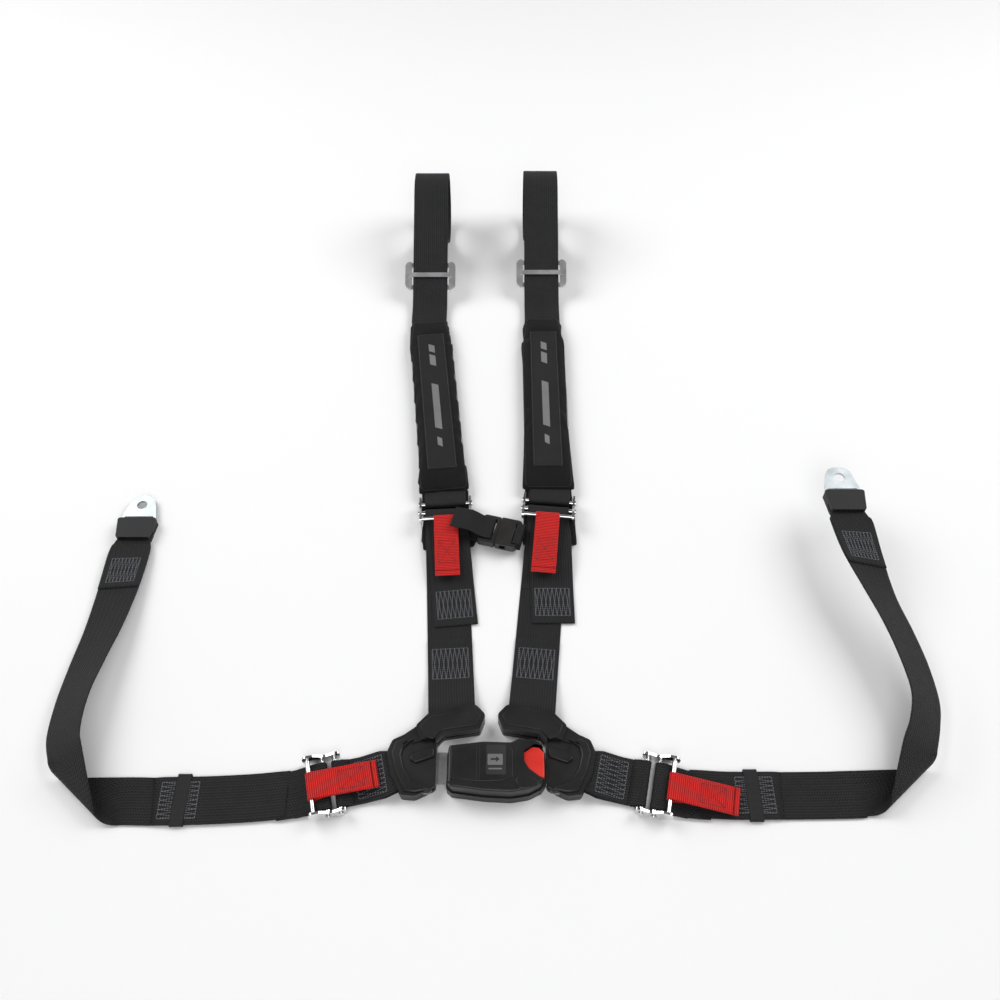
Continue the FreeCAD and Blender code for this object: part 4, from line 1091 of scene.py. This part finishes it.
def pad_outline(low_end, trim):
    """The pad's plan, drawn in by trim, with rounded corners."""
    top, half, neck = -PAD_UP + 2, 36.0, 29.0
    lower = [(top, -neck), (top + 52, -half), (low_end, -half)]
    corners = lower + [(x, -y) for x, y in reversed(lower)]
    middle = (top + low_end) / 2
    drawn = []
    for x, y in corners:
        drawn.append(Vector((x - math.copysign(trim, x - middle), y - math.copysign(trim, y), 0)))
    radii = [4.0, 60.0, 8.0, 8.0, 60.0, 4.0]
    made = []
    for i, corner in enumerate(drawn):
        before, after = drawn[i - 1], drawn[(i + 1) % 6]
        back, on = (before - corner).normalized(), (after - corner).normalized()
        half_angle = back.angle(on) / 2
        reach = min(radii[i] / math.tan(half_angle), 24.0)
        for k in range(7):
            t = k / 6
            first, last = corner + back * reach, corner + on * reach
            spot = first * (1 - t) ** 2 + corner * (2 * t * (1 - t)) + last * t * t
            made.append((spot.x, spot.y))
    return made


def limit_pad(piece, place, floor, ceiling, channel=None):
    """Keeps a pad off the floor and the webbing, in its own local frame."""
    inverse = place.inverted()
    for vertex in piece.data.vertices:
        local = inverse @ (vertex.co / 0.001 + ORIGIN)
        low = floor
        if channel is not None and abs(local.y) < 26.4:
            low = channel
        local.z = min(max(local.z, low), ceiling)
        vertex.co = to_row(place @ local)


def finish_pad(piece, body, fill):
    """One subdivision, smooth shading and the pad's declaration."""
    divide = piece.modifiers.new("divide", "SUBSURF")
    divide.levels = 1
    divide.render_levels = 1
    apply(piece)
    for polygon in piece.data.polygons:
        polygon.use_smooth = True
    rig.ride(piece, body)
    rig.padded(piece, fill=fill)


def surface_height(piece, place):
    """A function giving the top of a pad at a local (x, y)."""
    graph = bpy.context.evaluated_depsgraph_get()
    tested = piece.evaluated_get(graph)

    def height(x, y, otherwise):
        start = to_row(place @ Vector((x, y, 60)))
        hit, spot, _, _ = tested.ray_cast(start, Vector((0, 0, -1)))
        if not hit:
            return otherwise
        return (spot / 0.001 + ORIGIN).z

    return height


def pad(side):
    """The pad's two padded layers, its seams and its blank sewn patch."""
    body = side.name + "_pad"
    base = pad_block(body + "_base", pad_outline(PAD_FLAP, 2.0), 1.4, 6.0, side.pad, BASE_CLOTH)
    fill_pad(base, 0.004)
    limit_pad(base, side.pad, 0.35, 7.5)
    finish_pad(base, body, 0.5)
    cover = pad_block(body + "_cover", pad_outline(PAD_STOP, 2.5), 8.4, 15.4, side.pad, PAD_CLOTH)
    fill_pad(cover, 0.005)
    limit_pad(cover, side.pad, 7.4, 30.0, 10.2)
    finish_pad(cover, body, 0.8)
    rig.replaces(cover, side.name + "_shoulder_pad")
    top = surface_height(cover, side.pad)
    rim = closed(pad_outline(PAD_STOP, 7.5))
    seam(body + "_rim_stitch", rim, lambda x, y: top(x, y, 15.0), side, body)
    flap_top = surface_height(base, side.pad)
    edge = [Vector(p) for p in ((-10, -31), (PAD_FLAP - 5, -31), (PAD_FLAP - 5, 31), (-10, 31))]
    seam(side.name + "_flap_stitch", edge, lambda x, y: flap_top(x, y, 6.5), side, body)
    patch(side, top, body)


def seam(name, line, height, side, body):
    """Dark stitches along a line on a pad."""
    stitches(
        name, [line], lambda p, up: side.pad @ Vector((p[0], p[1], height(p[0], p[1]) + up + 0.1)),
        DARK_THREAD, body, "padding", 3.4,
    )


def patch(side, top, body):
    """The long patch that follows the pad's crown, with an overlocked edge and plain bars."""
    far, near, half, thick = -296.0, -50.0, 19.0, 0.9
    steps, columns = 82, 12
    points = []
    for layer in (thick, -0.6):
        for i in range(steps + 1):
            for k in range(columns + 1):
                x = far + (near - far) * i / steps
                y = -half + 2 * half * k / columns
                rim = 0.35 if layer > 0 and (i in (0, steps) or k in (0, columns)) else 0.0
                points.append(side.pad @ Vector((x, y, top(x, y, 16.0) + layer - rim)))
    below = len(points) // 2
    upper = grid(steps, columns)
    faces = upper + [[below + v for v in face[::-1]] for face in upper]
    width = columns + 1
    border = list(range(columns)) + [i * width + columns for i in range(steps)]
    border += [steps * width + k for k in range(columns, 0, -1)]
    border += [i * width for i in range(steps, 0, -1)]
    faces += [[a, below + a, below + b, b] for a, b in zip(border, border[1:] + border[:1])]
    piece = build(side.name + "_pad_patch_look", points, faces, PATCH_CLOTH, body, "patch")
    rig.replaces(piece, side.name + "_pad_patch")

    def lift(p, up):
        return side.pad @ Vector((p[0], p[1], top(p[0], p[1], 16.0) + thick + up))

    inset = 1.6
    edge = closed(rectangle(far + inset, -half + inset, near - inset, half - inset))
    stitches(side.name + "_patch_edge", [edge], lift, DARK_THREAD, body, "patch", 2.2, 0.4, 0.1)
    bars = [(-276, -262, 8), (-256, -236, 8), (-200, -120, 9), (-104, -90, 6)]
    for index, (start, end, wide) in enumerate(bars):
        plain_bar("%s_patch_bar_%d" % (side.name, index), start, end, wide, lift, body)


def plain_bar(name, start, end, wide, lift, body):
    """A slanted plain bar printed on the patch, without lettering."""
    slant, rows, columns = 4.0, 8, 4
    points = []
    for i in range(rows + 1):
        for k in range(columns + 1):
            x = start + (end - start) * i / rows + slant * k / columns
            points.append(lift((x, wide * (k / columns - 0.5)), 0.06))
    build(name, points, grid(rows, columns), PATCH_MARK, body, "patch")


# ---- hard parts ----


def hard_parts():
    """Detailed copies of the rigid CAD parts."""
    for side in ("left", "right"):
        for place in ("shoulder", "lap"):
            shaped("%s_%s_adjuster_frame" % (side, place), CHROME, "chrome", 0.9, 4)
            shaped("%s_%s_grip_bar" % (side, place), CHROME, "chrome", 0.4)
        shaped(side + "_shoulder_slide", SATIN, "slide_metal", 0.7, 3)
        shaped(side + "_bracket_lower_cover", PLASTIC, "black_plastic", 1.0)
        shaped(side + "_bracket_upper_cover", PLASTIC, "black_plastic", 1.5, 4)
        shaped(side + "_end_tab", ZINC, "zinc_steel", 0.5)
        shaped(side + "_tab_boot", RUBBER, "boot_rubber", 1.4, 4)
    shaped("left_link_plate", STEEL, "steel", 0.4)
    shaped("tongue_plate", STEEL, "steel", 0.4)
    shaped("buckle_base", PLASTIC, "black_plastic", 0.8)
    shaped("buckle_cover", PLASTIC, "black_plastic", 0.5, 3, 40)
    shaped("release_button", RED_PLASTIC, "red_plastic", 0.4, 3, 40)
    shaped("buckle_frame", STEEL, "steel", 0.3)
    shaped("latch_pawl", STEEL, "steel", 0.3)
    shaped("latch_pin", STEEL, "steel", 0.2)
    shaped("link_rivets", STEEL, "steel", 0.2)
    shaped("ejector", INNER_PLASTIC, "inner_plastic", 0.4)
    shaped("chest_clip_plug", CLIP_PLASTIC, "black_plastic", 0.8)
    shaped("chest_clip_socket", CLIP_PLASTIC, "black_plastic", 1.3, 4)
    shaped("buckle_label", LABEL, "label", 0.25)
    spring("button_spring", "button", (15.6, 0, 0), (25.3, 0, 0))
    spring("latch_spring", "latch", (0, 0, 25.0), (0, 0, 14.6))
    spring("ejector_spring", "ejector_body", (-27.3, 0, 0), (-11.3, 0, 0))


def spring(name, body, fixed, free):
    """A coil spring that shortens or stretches between the housing and the part it pushes."""
    piece = shaped(name, SPRING, "spring_steel", 0, rides=False)
    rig.blend(piece, "harness", body, to_row(fixed), to_row(free))


def bracket_details(side):
    """A raised crescent, a bevelled dark pocket, a small ridge and a capped arm on each bracket."""
    place = Matrix.Scale(side.mirror, 4, Vector((1, 0, 0)))

    def raised(part, outline, low, high, bevel):
        name = side.name + "_bracket_" + part
        prism(name, outline, low, high, place, PLASTIC, side.root, "black_plastic", bevel)

    flat = 13.5
    crescent = [(-77, -443), (-88, -441.5), (-98, -421), (-103, -401), (-99.5, -389), (-91, -385)]
    crescent += [(-84, -389), (-91, -395), (-93, -403), (-89, -418), (-81, -431), (-66, -436), (-62, -440)]
    raised("crescent", crescent, flat - 0.6, flat + 2.3, 1.3)
    rim = [(-82, -403), (-62, -394), (-59, -397), (-59, -405), (-78, -412), (-84, -408)]
    raised("pocket_rim", rim, flat - 0.6, flat + 2.5, 1.1)
    ridge = [(-92, -391), (-82, -385), (-81, -386.6), (-91, -392.8)]
    raised("ridge", ridge, flat + 0.6, flat + 2.3, 0.3)
    arm = [(-64, -361), (-19, -352), (-11, -360), (-15, -371)]
    arm += [(-52, -377), (-60, -387), (-70, -384), (-75, -372)]
    raised("arm_cap", arm, 16.4, 18.0, 1.3)


def buckle_details():
    """Plateau, grooves, end lobe and the generic mark on the buckle's cover."""

    def raised(part, outline, low, high, bevel, material=PLASTIC, slot="black_plastic"):
        low, high = BUCKLE_TOP + low, BUCKLE_TOP + high
        prism("buckle_" + part, outline, low, high, Matrix.Identity(4), material, "harness", slot, bevel)

    plate = [(-41, -402), (-8, -396), (18, -397), (22, -404)]
    plate += [(22, -432), (12, -436), (-10, -437), (-41, -434)]
    raised("plateau", plate, -0.8, 0.7, 0.6)
    for index, x in enumerate((-15.0, -12.2)):
        raised("groove_%d" % index, rectangle(x, -435.4, x + 1.0, -398), 0.5, 1.0, 0.2)
    lobe = [(24, -435), (30, -428), (38, -430), (49, -437), (46, -441.5), (36, -445), (27, -444)]
    raised("lobe", lobe, -1.2, 1.2, 1.1)
    left, low, right, high, cut = -3.6, -419.8, 11.8, -408.0, 0.8
    square = [(left + cut, low), (right - cut, low), (right, low + cut), (right, high - cut)]
    square += [(right - cut, high), (left + cut, high), (left, high - cut), (left, low + cut)]
    raised("mark", square, 0.9, 1.15, 0.05, LABEL_MARK, "label")
    arrow = [(-0.5, -414.6), (5, -414.6), (5, -416.6), (8.7, -413.6)]
    arrow += [(5, -410.6), (5, -412.6), (-0.5, -412.6)]
    raised("arrow", arrow, 1.1, 1.3, 0.03, LABEL, "label")
    raised("mark_bar", rectangle(-2.6, -424.6, 10.8, -423.0), 0.9, 1.15, 0.05, LABEL_MARK, "label")


# ---- assembly ----

hard_parts()
buckle_details()
for one in (LEFT, RIGHT):
    pad(one)
    upper_strap(one)
    lower_strap(one)
    lap_outer(one)
    lap_inner(one)
    keeper(one)
    bracket_details(one)
    pull_tab(one.name + "_shoulder_pull_tab", one.adjuster, 78.0, 1, 7.5, one.name + "_shoulder_tab")
    droop = 3.0 if one is LEFT else 5.0
    pull_tab(one.name + "_lap_pull_tab", one.lap, 68.0, -one.mirror, droop, one.name + "_lap_tab")
chest_straps()


# ---- stage ----


def studio_world():
    """Even light that is bright at the horizon and dim overhead."""
    world = bpy.data.worlds.new("studio")
    world.use_nodes = True
    tree = world.node_tree
    where = tree.nodes.new("ShaderNodeTexCoord")
    split = tree.nodes.new("ShaderNodeSeparateXYZ")
    ramp = tree.nodes.new("ShaderNodeValToRGB")
    ramp.color_ramp.elements[0].color = (*grey(1.0), 1)
    ramp.color_ramp.elements[1].color = (*grey(0.16), 1)
    ramp.color_ramp.elements[1].position = 0.9
    tree.links.new(where.outputs["Generated"], split.inputs[0])
    tree.links.new(split.outputs[2], ramp.inputs["Fac"])
    tree.links.new(ramp.outputs["Color"], tree.nodes["Background"].inputs["Color"])
    tree.nodes["Background"].inputs["Strength"].default_value = 0.62
    bpy.context.scene.world = world


def stage():
    """A pale plain floor, soft studio light and the camera."""
    mesh = bpy.data.meshes.new("floor")
    corners = [(x, y, 0) for x, y in rectangle(-8.0, -8.0, 8.0, 8.0)]
    mesh.from_pydata(corners, [], [(0, 1, 2, 3)])
    white = Shader("floor_white")
    white.finish(Base_Color=(*grey(0.96), 1), Roughness=0.9, Specular_IOR_Level=0.1)
    mesh.materials.append(white.material)
    floor = bpy.data.objects.new("floor", mesh)
    bpy.context.scene.collection.objects.link(floor)
    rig.stage(floor)
    studio_world()
    lamp("left_light", (-1.7, 0.8, 1.9), 36.0, 1.6)
    lamp("right_light", (1.7, 0.7, 1.9), 33.0, 1.6)
    lamp("front_light", (0.0, -1.8, 1.8), 16.0, 1.2)
    camera = bpy.data.objects.new("camera", bpy.data.cameras.new("camera"))
    camera.data.lens = 36.62
    camera.data.sensor_width = 36.0
    camera.location = (0.0037, -0.8616, 1.0011)
    camera.rotation_euler = (math.radians(38), 0, 0)
    bpy.context.scene.collection.objects.link(camera)
    bpy.context.scene.camera = camera


def lamp(name, spot, power, wide):
    """A square soft light aimed at the harness."""
    light = bpy.data.lights.new(name, "AREA")
    light.energy = power
    light.size = wide
    made = bpy.data.objects.new(name, light)
    made.location = spot
    made.rotation_euler = Vector(spot).to_track_quat("Z", "Y").to_euler()
    bpy.context.scene.collection.objects.link(made)


stage()
bpy.context.scene.view_settings.view_transform = "Standard"
sizes = {"frame": [list(c) for c in first_bounds], "shown": [list(c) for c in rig.bounds()]}
with open("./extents.json", "w") as target:
    json.dump(sizes, target)
